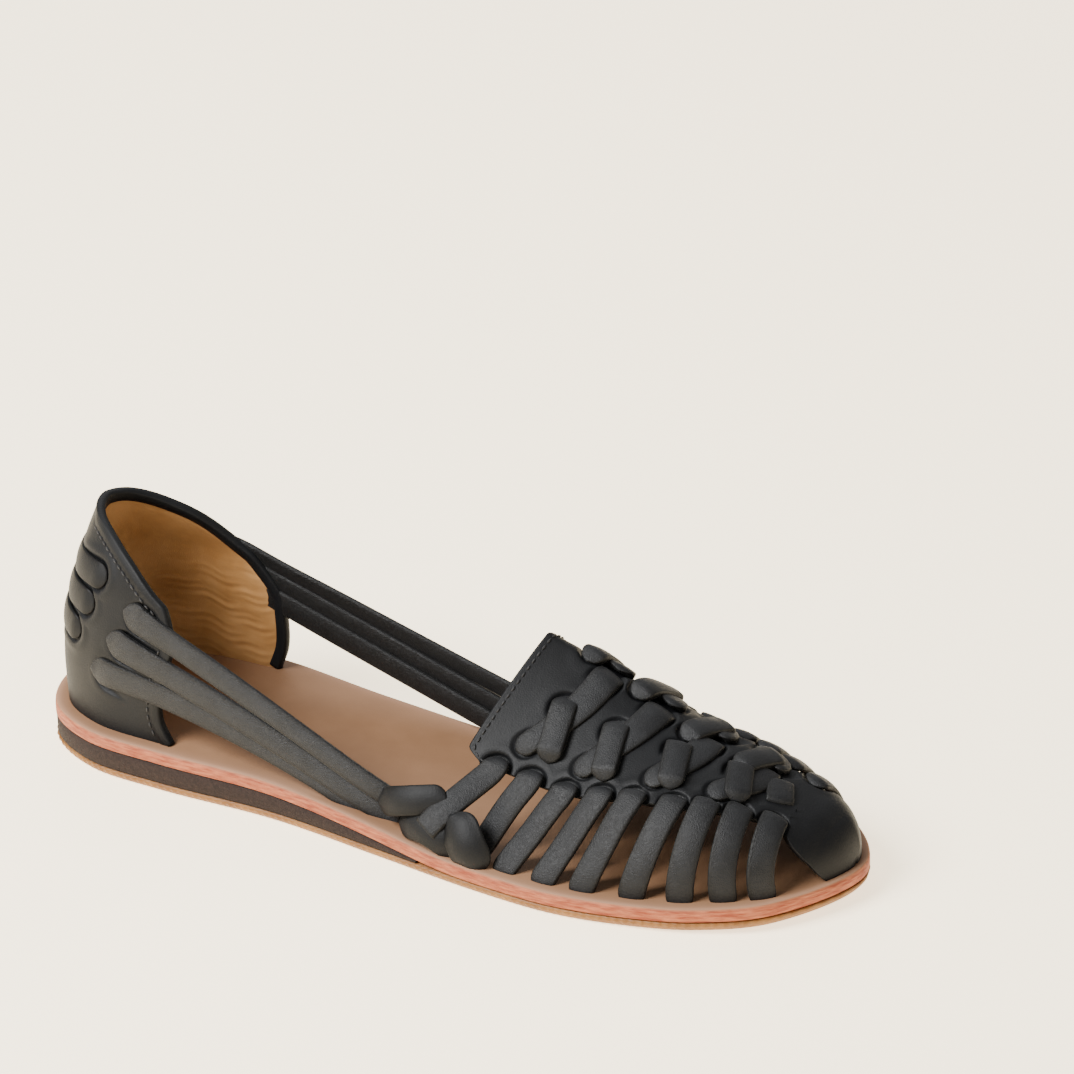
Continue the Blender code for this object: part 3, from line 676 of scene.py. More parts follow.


# The profile goes up the edge: inset, height, and how much of the rim's colour, a painted highlight on the footbed's
# rounded edge. Faces from sideRows up take the second material
def layerPiece(
    name, profile, columns, materials, replaced, stations=sole["stations"], sideRows=99, end=None, ribs=0.0
):
    points, faces, kinds, rim = [], [], [], []
    spread = (1 - np.cos(np.linspace(0, np.pi, stations))) / 2
    ring = 2 * stations
    for k, (inset, height, edge) in enumerate(profile):
        lateral, medial = soleSides(lambda x: np.full(len(x), inset))
        low = lateral[0, 0]
        high = end or lateral[-1, 0]
        x = low + (high - low) * spread
        wave = ribs * np.sin(x * tread["waves"]) * (0 < k < 4)
        points += [(a, atX(lateral, a) - w, height(a)) for a, w in zip(x, wave)]
        points += [(a, atX(medial, a) + w, height(a)) for a, w in zip(x, wave)]
        rim += [edge] * ring
    order = list(range(stations)) + list(range(ring - 1, stations - 1, -1))
    for k in range(len(profile) - 1):
        for i in range(ring):
            a, b = order[i] + k * ring, order[(i + 1) % ring] + k * ring
            faces.append((a, b, b + ring, a + ring))
            kinds.append(0 if k < sideRows else 1)
    for k, kind in ((0, 0), (len(profile) - 1, len(materials) - 1)):  # underside, then top
        edge = profile[k][2]
        base = k * ring
        grid = []
        for i in range(stations):
            lat, med = np.array(points[base + i]), np.array(points[base + stations + i])
            row = [base + i]
            for c in range(1, columns):
                f = c / columns
                points.append(tuple(lat + (med - lat) * f))
                border = min(f, 1 - f) * abs(med[1] - lat[1])
                ends = min(i, stations - 1 - i) / stations * sole["endSpread"]
                # the painted edge highlight fades in from the footbed's border
                rim.append(edge * float(np.exp(-min(border, ends) / sole["rimFade"])))
                row.append(len(points) - 1)
            row.append(base + stations + i)
            grid.append(row)
        for i in range(stations - 1):
            for c in range(columns):
                face = (grid[i][c], grid[i][c + 1], grid[i + 1][c + 1], grid[i + 1][c])
                faces.append(face if k else face[::-1])
                kinds.append(kind)
    made = makePiece(name, points, faces, materials, replaced, kinds, rim)
    faceOutwards(made.data, sole["weld"])
    return made


outsoleProfile = [
    (last["undercut"], springAt, 0.0),
    (0.0007, lambda x: springAt(x) + last["outsole"] * 0.30, 0.0),
    (0.0002, lambda x: springAt(x) + last["outsole"] * 0.55, 0.0),
    (0.0, lambda x: springAt(x) + last["outsole"] * 0.80, 0.0),
    (0.0002, outsoleTop, 0.0),
]
wedgeProfile = [
    (0.0005, lambda x: outsoleTop(x) + last["gap"] * 0.4, 0.0),
    (0.0002, lambda x: outsoleTop(x) + last["gap"] + 0.0004, 0.0),
    (0.0002, lambda x: midsoleBottom(x) - last["gap"] - 0.0002, 0.0),
    (0.0005, lambda x: midsoleBottom(x) - last["gap"] * 0.4, 0.0),
]
# Inset, height, and share of the painted edge highlight, strongest at the footbed's rounded edge
midsoleProfile = [
    (0.0004, midsoleBottom, 0.0),
    (0.0, lambda x: midsoleBottom(x) + 0.0004, 0.0),
    (0.0, lambda x: footbed(x) - 0.0014, 0.0),
    (0.0001, lambda x: footbed(x) - 0.0006, 0.1),
    (0.0004, lambda x: footbed(x) - 0.0002, 0.8),
    (0.0009, footbed, 1.0),
    (0.0020, footbed, 0.5),
]
# The wedge ends where it has thinned to its blunt end
bluntAlong = np.linspace(0.3, 0.6, 200)
wedgeEnd = last["length"] * np.interp(
    -(last["wedgeBluntEnd"] + last["gap"]), -last["wedge"] * share(bluntAlong, wedgeRows, 1), bluntAlong
)
layerPiece(
    "rubberOutsole", outsoleProfile, sole["plainColumns"], ["honeyRubber"], "outsole",
    stations=tread["stations"], ribs=tread["depth"],
)
layerPiece(
    "heelWedge", wedgeProfile, sole["plainColumns"], ["wedgeRubber"], "heel_wedge", end=wedgeEnd,
)
layerPiece(
    "leatherMidsole", midsoleProfile, sole["columns"], ["cutEdge", "footbed"], "leather_midsole",
    sideRows=4,
)
print("sole made")

# Straps, strips and bands come before the counter and the plug, because their slots press both

counterSlots = []
plugSlots = []


def soleEdge(sign, x):
    return atX(lastLateral if sign < 0 else lastMedial, x)


# How far round the plug's edge lies, from that side's own foot
def plugEdge(sign, along):
    edge = share(along, plugRows, 1 if sign < 0 else 2)
    return edge if sign < 0 else 1 - edge


# Stations give x, way from that side's foot, and lift; this returns their points and normals, and those of
# the face below them
def vampRoute(sign, stations):
    stations = [(x, way if sign < 0 else 1 - way, lift) for x, way, lift in stations]
    normals = [vampNormal(x, t) for x, t, lift in stations]
    flat = [onVamp(x, t) for x, t, lift in stations]
    return [p + n * lift for p, n, (x, t, lift) in zip(flat, normals, stations)], normals, flat


# Side straps: from slots in the counter forward and down to the braid
sideStrap = {
    "width": 0.0085, "thick": 0.0019,
    "stations": (-0.02, 0.0, 0.03, 0.08, 0.2, 0.35, 0.5, 0.65, 0.8, 0.93, 1.03, 1.13),
    "sunk": 0.25, "rise": (-0.01, 0.07), "dive": (1.1, 0.98, 0.14),
    "narrow": (0.20, 0.14, 0.14), "narrowBy": (0.0, 0.2), "taper": (0.12, 0.2, 0.7),
    "slot": (0.020, 0.0010, 0.0001, 0.009), "slotAim": 0.05, "braidStart": {-1: 0.468, 1: 0.550}, "lean": 0.35,
}
# way and height of the slot, height at the braid, arch of the middle, and how far out it lies at the braid
strapRows = {
    -1: [(0.755, 0.705, 0.262, 0.3, 0.9), (0.700, 0.575, 0.186, 0.6, 0.0), (0.630, 0.430, 0.146, 1.7, -0.9)],
    1: [(0.740, 0.700, 0.299, 0.0, 0.9), (0.700, 0.640, 0.217, 0.0, 0.0), (0.650, 0.575, 0.146, 0.0, -0.9)],
}


def braidPoint(sign, meet, out):
    along = sideStrap["braidStart"][sign]
    x = along * last["length"]
    lean = sideStrap["lean"] if sign < 0 else 0.0
    normal = np.array([0, sign, lean]) / np.hypot(1, lean)
    height = meet * last["counterHeight"] - footbed(x)
    point = np.array([x, soleEdge(sign, x) - sign * lean * height, footbed(x) + height])
    return point + normal * out * sideStrap["thick"], normal


def sideStraps(sign, side):
    width, thick = sideStrap["width"], sideStrap["thick"]
    for row, (way, slot, meet, arch, out) in enumerate(strapRows[sign]):
        height = slot * last["counterHeight"]
        first, firstNormal = onCounter(sign * way, height), counterNormal(sign * way, height)
        end, endNormal = braidPoint(sign, meet, out)
        centres, normals, widths = [], [], []
        for t in sideStrap["stations"]:
            normal = unit(firstNormal + (endNormal - firstNormal) * ease(t))
            centre = first + (end - first) * t
            centre[2] += width * arch * t * (1 - t)
            lift = sideStrap["sunk"] + (1 - sideStrap["sunk"]) * ease(t, *sideStrap["rise"])
            lift -= amount(t, sideStrap["dive"])
            narrow = sideStrap["narrow"][row] * ease(t, *sideStrap["narrowBy"]) + amount(t, sideStrap["taper"])
            centres.append(centre + normal * thick * lift)
            normals.append(normal)
            widths.append(width * (1 - narrow))
        aim = first + (end - first) * sideStrap["slotAim"]
        counterSlots.append(slotAt([first, aim], [firstNormal], width, *sideStrap["slot"]))
        strapPiece(f"{side}Strap{row + 1}", centres, normals, widths, thick, look="strapLeather")


# The braid that gathers the straps. Per piece: width and dome, then stations by x, height and reach out from the
# last's edge, all three in mm
braidLean = {-1: 0.45, 1: 0.15}
braidPieces = {
    -1: {
        "Lobe": (0.0084, 0.0008, [
            (124.4, 15.4, 0.2), (130.5, 18.2, 2.2), (137.0, 20.2, 1.6), (143.0, 21.2, -0.8), (147.0, 21.4, -3.0),
        ]),
        "Under": (0.0078, 0.0008, [
            (132.0, 11.6, 0.8), (136.6, 13.0, 2.8), (142.4, 13.6, 3.7), (148.4, 11.6, 3.4), (152.6, 7.6, 1.6),
        ]),
        "Knob": (0.0120, 0.0017, [
            (149.4, 19.0, 0.0), (153.4, 16.6, 2.6), (156.4, 13.2, 4.2), (158.6, 9.4, 4.3), (159.6, 5.0, 3.2),
        ]),
    },
    1: {
        "Lobe": (0.0086, 0.0008, [
            (139.0, 20.6, 0.0), (144.5, 20.4, 2.4), (151.5, 18.2, 3.2), (158.0, 14.6, 2.6), (162.0, 11.0, 0.6),
        ]),
        "Under": (0.0086, 0.0008, [
            (140.0, 12.6, 0.0), (145.0, 12.4, 2.0), (151.5, 11.4, 2.8), (158.5, 9.6, 2.4), (164.0, 7.4, 0.4),
        ]),
    },
}


def braid(sign, side):
    for name, (width, dome, stations) in braidPieces[sign].items():
        x, height, out = np.array(stations).T / 1000
        centres = np.stack([x, soleEdge(sign, x) + sign * out, height], 1)
        normals = [unit(np.array([0, sign, braidLean[sign]]))] * len(centres)
        look = {"look": "upperLeather", "roundEnd": True, "dome": dome}
        strapPiece(f"{side}Braid{name}", centres, normals, width, sideStrap["thick"], **look)


# Strips: from slots in the plug's edge down into the sole; the first lateral one lies over the braid instead
strip = {
    "width": 0.0076, "thick": 0.0018, "stations": (-0.15, -0.11, -0.04, 0.06, 0.18, 0.32, 0.5, 0.68, 0.85, 1.0),
    "shoulder": {-1: 1.15, 1: 0.85}, "rise": (-0.16, 0.10), "fall": (0.04, 0.75), "tuck": 0.35, "tuckBefore": -0.12,
    "out": (0.35, 0.5), "overBraid": (3.9, 0.0, 0.85), "intoSole": 0.0024, "slot": (0.009, 0.0010, 0.0002),
}
# along at the plug's edge and at the sole; how far out the foot of it lies
stripRows = [
    (0.612, 0.556, 1.2), (0.655, 0.612, -0.4), (0.699, 0.657, 0.45), (0.741, 0.706, 0.45), (0.779, 0.752, 0.45),
    (0.824, 0.807, 0.45), (0.857, 0.858, 0.45), (0.889, 0.900, 0.45), (0.923, 0.936, 0.3),
]


def sideStrips(sign, side):
    width, thick = strip["width"], strip["thick"]
    for row, (top, foot, out) in enumerate(stripRows):
        overBraid = row == 0 and sign < 0
        outward = strip["overBraid"] if overBraid else (out, *strip["out"])
        edge = plugEdge(sign, top)
        stations = []
        for t in strip["stations"]:
            rise = strip["shoulder"][sign] * ease(t, *strip["rise"]) * (1 - ease(t, *strip["fall"]))
            rise += amount(t, outward) - strip["tuck"] * (t < strip["tuckBefore"])
            stations.append(((top + (foot - top) * max(t, 0)) * last["length"], edge * (1 - t), thick * rise))
        centres, normals, flat = vampRoute(sign, stations)
        plugSlots.append(slotAt([flat[0], flat[2]], normals, width, *strip["slot"]))
        if overBraid:
            centres, normals = centres[:-1], normals[:-1]
        else:
            centres.append(centres[-1] - np.array([0, 0, strip["intoSole"]]))
            normals.append(normals[-1])
        strapPiece(f"{side}Strip{row + 1}", centres, normals, width, thick, roundEnd=not overBraid)


# Woven units: a diagonal from each side towards the ridge, and a short crossing band over its lower end
weave = {
    "width": 0.0078, "thick": 0.0024, "rise": 0.0014, "bow": 0.0038, "slotIn": 0.055,
    "stations": (0.0, 0.04, 0.12, 0.25, 0.4, 0.55, 0.7, 0.84, 0.94, 1.0),
    "reach": {-1: 0.585, 1: 0.412}, "over": {-1: (0.0, 0.5, 0.3), 1: (0.35, 0.5, 0.3)},
    "dive": {-1: (1.6, 0.86, 0.14), 1: (0.9, 0.92, 0.08)}, "lift": (-0.02, 0.12),
    "narrow": 0.84, "widening": (0.30, 0.0, 0.6), "lowSlot": (0.006, 0.0006, 0.0), "tipSlot": (0.005, 0.0009, 0.0001),
}
crossing = {
    "stations": 8, "start": 0.060, "span": 0.175, "width": 0.95, "thick": 1.1, "sunk": 0.25,
    "lift": (1.75, 0.0, 0.16), "fall": (0.80, 0.20), "tuck": 0.6, "tuckAfter": 0.95, "slot": (0.004, 0.0011, 0.0001),
}
# along of the diagonal at its slot and tip, and of the crossing band, lower and upper end
weaveRows = [
    (0.627, 0.690, 0.667, 0.659), (0.700, 0.754, 0.737, 0.722),
    (0.783, 0.812, 0.813, 0.790), (0.851, 0.879, 0.882, 0.857),
]


def wovenUnits(sign, side):
    width, thick, lift = weave["width"], weave["thick"], weave["rise"]
    for row, (slot, tip, low, high) in enumerate(weaveRows):
        edge = plugEdge(sign, slot)
        start = edge + weave["slotIn"]
        stations, widths = [], []
        for t in weave["stations"]:
            x = (slot + (tip - slot) * t) * last["length"] + weave["bow"] * np.sin(np.pi * t)
            rise = ease(t, *weave["lift"]) * (1 + amount(t, weave["over"][sign])) - amount(t, weave["dive"][sign])
            stations.append((x, start + (weave["reach"][sign] - start) * t, lift * rise))
            widths.append(width * (weave["narrow"] + amount(t, weave["widening"])))
        centres, normals, flat = vampRoute(sign, stations)
        plugSlots.append(slotAt([flat[0], flat[2]], normals, widths[0], *weave["lowSlot"]))
        plugSlots.append(slotAt([flat[-1], flat[-3]], normals[::-1], widths[-1], *weave["tipSlot"]))
        strapPiece(f"{side}Diagonal{row + 1}", centres, normals, widths, thick, roundEnd=sign > 0)
        stations = []
        for t in np.linspace(0, 1, crossing["stations"]):
            rise = crossing["sunk"] + amount(t, crossing["lift"]) * (1 - ease(t, *crossing["fall"]))
            rise -= crossing["tuck"] * (t > crossing["tuckAfter"])
            way = edge + crossing["start"] + crossing["span"] * t
            stations.append(((low + (high - low) * t) * last["length"], way, lift * rise))
        centres, normals, flat = vampRoute(sign, stations)
        plugSlots.append(slotAt([flat[-1], flat[-2]], normals[::-1], width, *crossing["slot"]))
        sizes = width * crossing["width"], thick * crossing["thick"]
        strapPiece(f"{side}Crossing{row + 1}", centres, normals, *sizes, roundEnd=True)


# The last small patch before the toe cap: way round and lift of its stations
patch = {
    "along": 0.908, "middle": 0.495, "slant": 0.15,
    "stations": [(0.435, -0.1), (0.447, 0.9), (0.48, 1.1), (0.51, 1.1), (0.543, 0.9), (0.555, -0.1)],
}


def toePatch():
    stations = [
        ((patch["along"] - patch["slant"] * (t - patch["middle"])) * last["length"], t, weave["rise"] * lift)
        for t, lift in patch["stations"]
    ]
    centres, normals = vampRoute(-1, stations)[:2]
    strapPiece("toePatch", centres, normals, weave["width"], weave["thick"], roundStart=False)


# Bands woven round the back of the counter
backBand = {
    "width": 0.00782, "thick": 0.0017, "stations": 21, "rise": 0.0008, "endLift": -0.0005, "nextLift": 0.0007,
    "bend": 1.5, "slot": (0.03, 0.0009),
}
backBandRows = [(0.58, 0.800, 0.800), (0.54, 0.675, 0.690), (0.48, 0.545, 0.575)]  # way, height at ends and back


def backBands():
    width = backBand["width"]
    for row, (end, low, high) in enumerate(backBandRows):
        ways = np.linspace(-end, end, backBand["stations"])
        heights = last["counterHeight"] * (high + (low - high) * (np.abs(ways) / end) ** backBand["bend"])
        lifts = np.full(backBand["stations"], backBand["rise"])
        lifts[[0, -1]] = backBand["endLift"]
        lifts[[1, -2]] = backBand["nextLift"]
        normals = [counterNormal(w, h) for w, h in zip(ways, heights)]
        flat = [onCounter(w, h) for w, h in zip(ways, heights)]
        centres = [p + n * lift for p, n, lift in zip(flat, normals, lifts)]
        for ends, facing in ((flat[:2], normals), (flat[:-3:-1], normals[::-1])):
            counterSlots.append(slotAt(ends, facing, width, *backBand["slot"]))
        thick = backBand["thick"]
        strapPiece(f"backBand{row + 1}", centres, normals, width, thick, look="upperLeather", roundEnd=True)


for sign, side in ((-1, "lateral"), (1, "medial")):
    sideStraps(sign, side)
    braid(sign, side)
    sideStrips(sign, side)
    wovenUnits(sign, side)
backBands()
toePatch()
print("straps, strips and bands made")

# Counter, its lining and its binding

counter = {
    "ways": 300, "levels": 130, "lining": 0.0009, "liningGap": 0.00005, "sunk": 0.0002, "middle": 0.6,
    "corner": (0.86, 0.14), "cornerCut": 0.075,
}
crease = {
    "mean": 0.0005, "fine": 0.00011, "broad": 0.00013, "seam": 0.00025, "seamWide": 0.010, "recess": 0.0004,
    "edgeWay": (0.0, 0.09), "edgeLevel": (0.0, 0.10), "low": (-0.050, 0.016), "side": (0.15, 0.3),
}


# level goes from 0 at the footbed to 1 at the topline; the front corner is cut back to a curve
def collarPoint(way, level):
    foot = footbed(np.array(0.0)) - counter["sunk"]
    corner = ease(level, *counter["corner"]) * ease(np.abs(way), *counter["corner"])
    way = way * (1 - counter["cornerCut"] * corner)
    return onCounter(way, foot + (topline(way) - foot) * level)


counterWays = np.linspace(-1, 1, counter["ways"])[:, None]
counterLevels = np.linspace(0, 1, counter["levels"])[None, :]


# The lining's creases: fine ones low on the sides, broad ones all over, a seam at the back
def creases(points):
    x, z = points[..., 0], points[..., 2]
    ways = np.abs(counterWays)
    inside = ease(1 - ways, *crease["edgeWay"]) * ease(1 - counterLevels, *crease["edgeLevel"])
    low = ease(ways, *crease["side"]) * ease(-z, *crease["low"])
    bend = z + 0.0012 * np.sin(x * 190) + 0.0006 * np.sin(x * 520 + 1)
    fine = np.sin(bend * 2300) * (0.5 + 0.5 * np.sin(x * 330 + z * 700)) + 0.5 * np.sin(bend * 1270 + 0.6)
    broad = np.sin(z * 330 + x * 70) + 0.6 * np.sin(x * 260 - z * 110)
    seamRidge = np.exp(-((ways / crease["seamWide"]) ** 2))
    rise = crease["mean"] + crease["fine"] * fine * low + crease["broad"] * broad + crease["seam"] * seamRidge
    return rise * inside - crease["recess"]


outerGrid = collarPoint(counterWays, counterLevels)
awayFromFoot = outerGrid * np.array([1, 1, 0]) - np.array([last["counterFront"] * counter["middle"], 0, 0])
outerNormals = gridNormals(outerGrid, awayFromFoot)
innerGrid = outerGrid - outerNormals * (last["counterWall"] - counter["lining"])
wallPiece("heelCounter", pressSlots(outerGrid, outerNormals, counterSlots), innerGrid)
liningFace = outerGrid - outerNormals * last["counterWall"]
liningFace = liningFace - outerNormals * creases(liningFace)[..., None]
wallPiece("heelLining", innerGrid - outerNormals * counter["liningGap"], liningFace, look="lining")

# The binding folds over the collar's edge: wide down each face, proud of both
binding = {
    "wide": 0.0027, "proud": 0.00025, "step": 0.0008, "parts": 4, "smoothing": 5, "fold": 0.55, "turned": 0.0007,
    "hem": 0.0002, "seamOut": 0.00012, "seamDown": 0.0006, "end": 0.985, "legStart": 0.01,
    "legPoints": 30, "topPoints": 120, "folds": 9, "middle": 0.3,
}


def bindingProfile():
    wall, wide = last["counterWall"], binding["wide"]
    half = wall / 2 + binding["proud"]
    turns = np.radians(np.linspace(180, 360, binding["folds"]))
    fold = [(half * np.cos(turn), half * binding["fold"] * np.sin(turn)) for turn in turns]
    side = [(half, wide * 0.5), (half, wide), (half - binding["turned"], wide + binding["hem"])]
    profile = fold + side + [(-out, down) for out, down in side[::-1]]
    return [(out - wall / 2, down) for out, down in profile]


# Returns the line of its stitches
def makeBinding():
    leg = [(-1.0, k) for k in np.linspace(binding["legStart"], binding["end"], binding["legPoints"])]
    over = [(w, 1.0) for w in np.linspace(-binding["end"], binding["end"], binding["topPoints"])]
    route = np.array(leg + over + [(1.0, k) for _, k in leg[::-1]])
    centres = collarPoint(route[:, 0], route[:, 1])
    normals = np.array([counterNormal(w, p[2]) for w, p in zip(route[:, 0], centres)])
    path = evenly(catmull(np.hstack([centres, normals]), binding["parts"]), binding["step"])[0]
    reach = binding["smoothing"]
    window = np.ones(2 * reach + 1) / (2 * reach + 1)
    smooth = np.pad(path, ((reach, reach), (0, 0)), mode="edge")
    smooth = np.stack([np.convolve(smooth[:, k], window, mode="valid") for k in range(6)], 1)
    path[reach:-reach, 3:] = smooth[reach:-reach, 3:]
    normal = unit(path[:, 3:])
    depth = np.cross(normal, unit(np.gradient(smooth[:, :3], axis=0)))
    middle = np.array([last["counterFront"] * counter["middle"], 0, last["counterHeight"] * binding["middle"]])
    if (depth[len(depth) // 2] * (middle - path[len(path) // 2, :3])).sum() < 0:
        depth = -depth
    profile = bindingProfile()
    points = [p + n * out + d * down for p, n, d in zip(path[:, :3], normal, depth) for out, down in profile]
    makePiece("collarBinding", points, tubeFaces(len(path), len(profile)))
    return path[:, :3] + normal * binding["seamOut"] + depth * (binding["wide"] + binding["seamDown"])


collarSeam = makeBinding()
print("counter, lining and binding made")

# Plug and toe cap in one wall

plug = {
    "rows": 260, "columns": 156, "rowCrowding": 1.25, "evenShare": 0.55, "capFrom": 0.934, "overFootbed": 0.0001,
    "throatRidge": 0.613, "throatLobe": 0.570, "throatPeak": 0.25, "cornerRound": 0.022, "corner": (0.86, 0.14),
    "seamIn": 0.0016, "seamOut": 0.00015, "seamEnd": 0.97, "seamPoints": 90,
}
# along; share of the way round where the toe cap's cut edge lies
capRows = [
    (0.928, 0.340), (0.938, 0.300), (0.949, 0.245), (0.960, 0.190), (0.970, 0.125), (0.976, 0.050), (0.979, 0.0),
]


# c goes across the plug, from -1 at its lateral edge to 1 at its medial
def throatAt(c):
    peak = plug["throatPeak"]
    back = np.where(c < peak, (np.abs(peak - c) / (1 + peak)) ** 1.15, (c - peak) ** 2)
    along = plug["throatRidge"] + (plug["throatLobe"] - plug["throatRidge"]) * back
    return (along + plug["cornerRound"] * ease(np.abs(c), *plug["corner"]) ** 2) * last["length"]


def plugEdges(x):
    along = x / last["length"]
    cap = np.clip(share(along, capRows, 1), 0, 1)
    low, high = share(along, plugRows, 1), share(along, plugRows, 2)
    inCap = along > plug["capFrom"]
    return np.where(inCap, np.minimum(low, cap), low), np.where(inCap, np.maximum(high, 1 - cap), high)


def plugWay(x, c):
    low, high = plugEdges(x)
    return low + (high - low) * (c + 1) / 2


plugForward = 1 - (1 - np.linspace(0, 1, plug["rows"])[:, None]) ** plug["rowCrowding"]
plugColumns = np.sin(np.linspace(-0.5, 0.5, plug["columns"]) * np.pi)
plugColumns = (1 - plug["evenShare"]) * plugColumns + plug["evenShare"] * np.linspace(-1, 1, plug["columns"])
plugX = throatAt(plugColumns) + (vampFront - throatAt(plugColumns)) * plugForward
plugGrid = onVamp(plugX, plugWay(plugX, plugColumns))
plugNormals = gridNormals(plugGrid, np.array([0, 0, 1.0]))
plugInner = plugGrid - plugNormals * last["plugWall"]
plugInner[..., 2] = np.maximum(plugInner[..., 2], footbed(plugInner[..., 0]) + plug["overFootbed"])
wallPiece("vampPlugAndCap", pressSlots(plugGrid, plugNormals, plugSlots), plugInner)
print("plug and toe cap made")

# Seams

seam = {"pitch": 0.0024, "length": 0.0018, "thick": 0.00062, "endsOff": 6}
stitchInputs = {"Pitch": "pitch", "Stitch Length": "length", "Thread": "thick"}


def makeStitchTree():
    tree = bpy.data.node_groups.new("stitchRun", "GeometryNodeTree")
    socketOf(tree, "Geometry", "NodeSocketGeometry", "INPUT")
    for name, size in stitchInputs.items():
        socketOf(tree, name, "NodeSocketFloat", "INPUT", seam[size])
    socketOf(tree, "Material", "NodeSocketMaterial", "INPUT")
    socketOf(tree, "Geometry", "NodeSocketGeometry", "OUTPUT")
    source = addNode(tree, "NodeGroupInput", (-900, 0))
    sink = addNode(tree, "NodeGroupOutput", (700, 0))
    toCurve = addNode(tree, "GeometryNodeMeshToCurve", (-700, 0))
    resample = addNode(tree, "GeometryNodeResampleCurve", (-500, 0), mode="LENGTH")
    tangent = addNode(tree, "GeometryNodeInputTangent", (-500, -250))
    turn = addNode(tree, "FunctionNodeAlignRotationToVector", (-300, -250), axis="X")
    ball = addNode(tree, "GeometryNodeMeshUVSphere", (-500, -450), Segments=8, Rings=6, Radius=0.5)
    size = addNode(tree, "ShaderNodeCombineXYZ", (-500, -650))
    shape = addNode(tree, "GeometryNodeTransform", (-300, -450))
    place = addNode(tree, "GeometryNodeInstanceOnPoints", (-50, 0))
    real = addNode(tree, "GeometryNodeRealizeInstances", (150, 0))
    smooth = addNode(tree, "GeometryNodeSetShadeSmooth", (330, 0))
    dress = addNode(tree, "GeometryNodeSetMaterial", (500, 0))
    joinNodes(tree, [
        (source, "Geometry", toCurve, "Mesh"), (toCurve, "Curve", resample, "Curve"),
        (source, "Pitch", resample, "Length"), (resample, "Curve", place, "Points"),
        (tangent, "Tangent", turn, "Vector"), (turn, "Rotation", place, "Rotation"),
        (source, "Stitch Length", size, "X"), (source, "Thread", size, "Y"), (source, "Thread", size, "Z"),
        (ball, "Mesh", shape, "Geometry"), (size, "Vector", shape, "Scale"), (shape, "Geometry", place, "Instance"),
        (place, "Instances", real, "Geometry"), (real, "Geometry", smooth, "Geometry"),
        (smooth, "Geometry", dress, "Geometry"), (source, "Material", dress, "Material"),
        (dress, "Geometry", sink, "Geometry"),
    ])
    return tree


stitchTree = makeStitchTree()


def inputOf(tree, name):
    return next(item.identifier for item in tree.interface.items_tree if item.name == name and item.in_out == "INPUT")


def stitchPiece(name, points, sizes):
    data = bpy.data.meshes.new(name + "Path")
    placed = np.asarray(points) + shift
    data.from_pydata([tuple(p) for p in placed], [(i, i + 1) for i in range(len(placed) - 1)], [])
    route = linkNew(name + "Path", data)
    run = route.modifiers.new("stitches", "NODES")
    run.node_group = stitchTree
    for entry, size in stitchInputs.items():
        run[inputOf(stitchTree, entry)] = sizes[size]
    run[inputOf(stitchTree, "Material")] = looks["thread"]
    graph = bpy.context.evaluated_depsgraph_get()
    stitched = bpy.data.meshes.new_from_object(route.evaluated_get(graph), depsgraph=graph)
    bpy.data.objects.remove(route, do_unlink=True)
    stitched.name = name
    if not stitched.materials:
        stitched.materials.append(looks["thread"])
    made = linkNew(name, stitched)
    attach(made, "root")
    return made


stitchPiece("collarStitches", collarSeam[seam["endsOff"]:-seam["endsOff"]], seam)
throatColumns = np.linspace(-plug["seamEnd"], plug["seamEnd"], plug["seamPoints"])
throatX = throatAt(throatColumns) + plug["seamIn"]
throatWay = plugWay(throatX, throatColumns)
stitchPiece("throatStitches", onVamp(throatX, throatWay) + vampNormal(throatX, throatWay) * plug["seamOut"], seam)
print("seams made")

# Floor, light and camera

floorReach = 6
floorLook = {
    "Base Color": (0.93, 0.83, 0.64, 1), "Roughness": 0.9, "Specular IOR Level": 0.1,
    "Emission Color": (1.0, 0.84, 0.60, 1), "Emission Strength": 2.3,
}
worldLook = {"Color": (1.0, 0.98, 0.95, 1), "Strength": 0.45}
lamps = {  # place, watts, width
    "key": ((-0.70, -1.05, 1.30), 80.0, 0.9), "rim": ((-0.6, 0.9, 1.1), 6.0, 0.8),
    "fill": ((1.1, -1.1, 0.8), 2.0, 1.2),
}


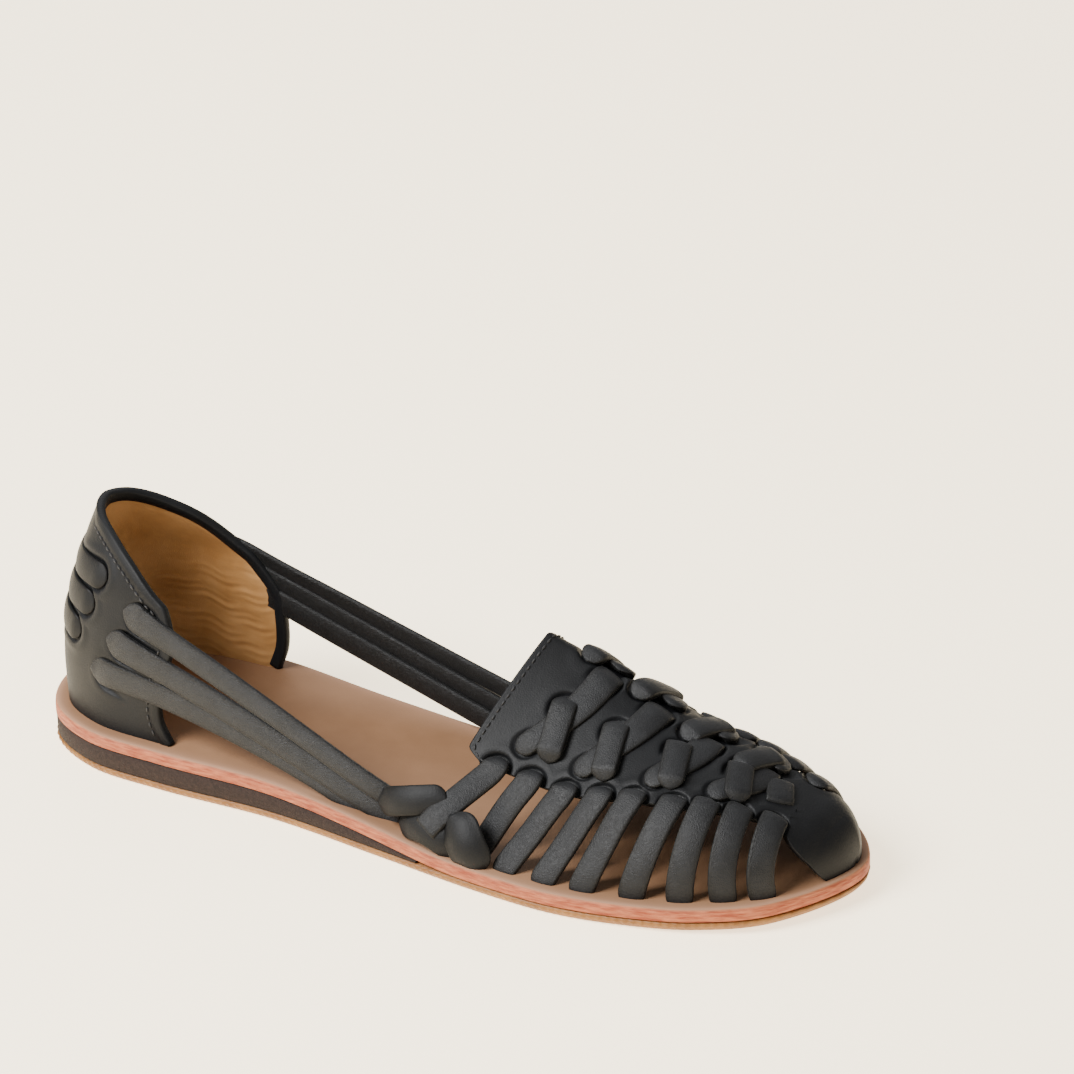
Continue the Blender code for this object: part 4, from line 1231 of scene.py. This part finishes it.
def makeFloor():
    data = bpy.data.meshes.new("floor")
    corners = ((-1, -1), (1, -1), (1, 1), (-1, 1))
    data.from_pydata([(x * floorReach, y * floorReach, 0) for x, y in corners], [], [(0, 1, 2, 3)])
    look = bpy.data.materials.new("paleFloor")
    look.use_nodes = True
    setInputs(look.node_tree.nodes["Principled BSDF"], floorLook)
    data.materials.append(look)
    linkNew("floor", data)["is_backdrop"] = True


def makeLights():
    world = bpy.data.worlds.new("studioWorld")
    bpy.context.scene.world = world
    world.use_nodes = True
    setInputs(world.node_tree.nodes["Background"], worldLook)
    for name, (place, power, size) in lamps.items():
        lamp = bpy.data.lights.new(name, "AREA")
        lamp.energy = power
        lamp.size = size
        made = linkNew(name, lamp)
        made.location = place
        made.rotation_euler = (-Vector(place)).to_track_quat("-Z", "Y").to_euler()


# The photo's camera, solved from the sole's outline; angles in degrees, turn from the lateral side to the toe
view = {
    "turn": 30.71, "down": 25.61, "roll": -1.39, "focalPixels": 5109.8, "imagePixels": 1074, "sensor": 36,
    "distance": 1.5462, "target": (0.0834, 0.1257, 0.0194), "clip": (0.01, 20),
}


def makeCamera():
    turn, down, roll = (np.radians(view[k]) for k in ("turn", "down", "roll"))
    back = np.array([np.sin(turn) * np.cos(down), -np.cos(turn) * np.cos(down), np.sin(down)])
    right = np.array([np.cos(turn), np.sin(turn), 0.0])
    up = np.cross(back, right)
    rolledRight = right * np.cos(roll) + up * np.sin(roll)
    rolledUp = -right * np.sin(roll) + up * np.cos(roll)
    place = np.array(view["target"]) + back * view["distance"] + shift
    lens = bpy.data.cameras.new("photoCamera")
    lens.sensor_width = view["sensor"]
    lens.lens = view["focalPixels"] / view["imagePixels"] * view["sensor"]
    lens.clip_start, lens.clip_end = view["clip"]
    camera = linkNew("photoCamera", lens)
    rows = [[rolledRight[k], rolledUp[k], back[k], place[k]] for k in range(3)]
    camera.matrix_world = Matrix(rows + [[0, 0, 0, 1]])
    bpy.context.scene.camera = camera


makeFloor()
makeLights()
makeCamera()
print("studio made")
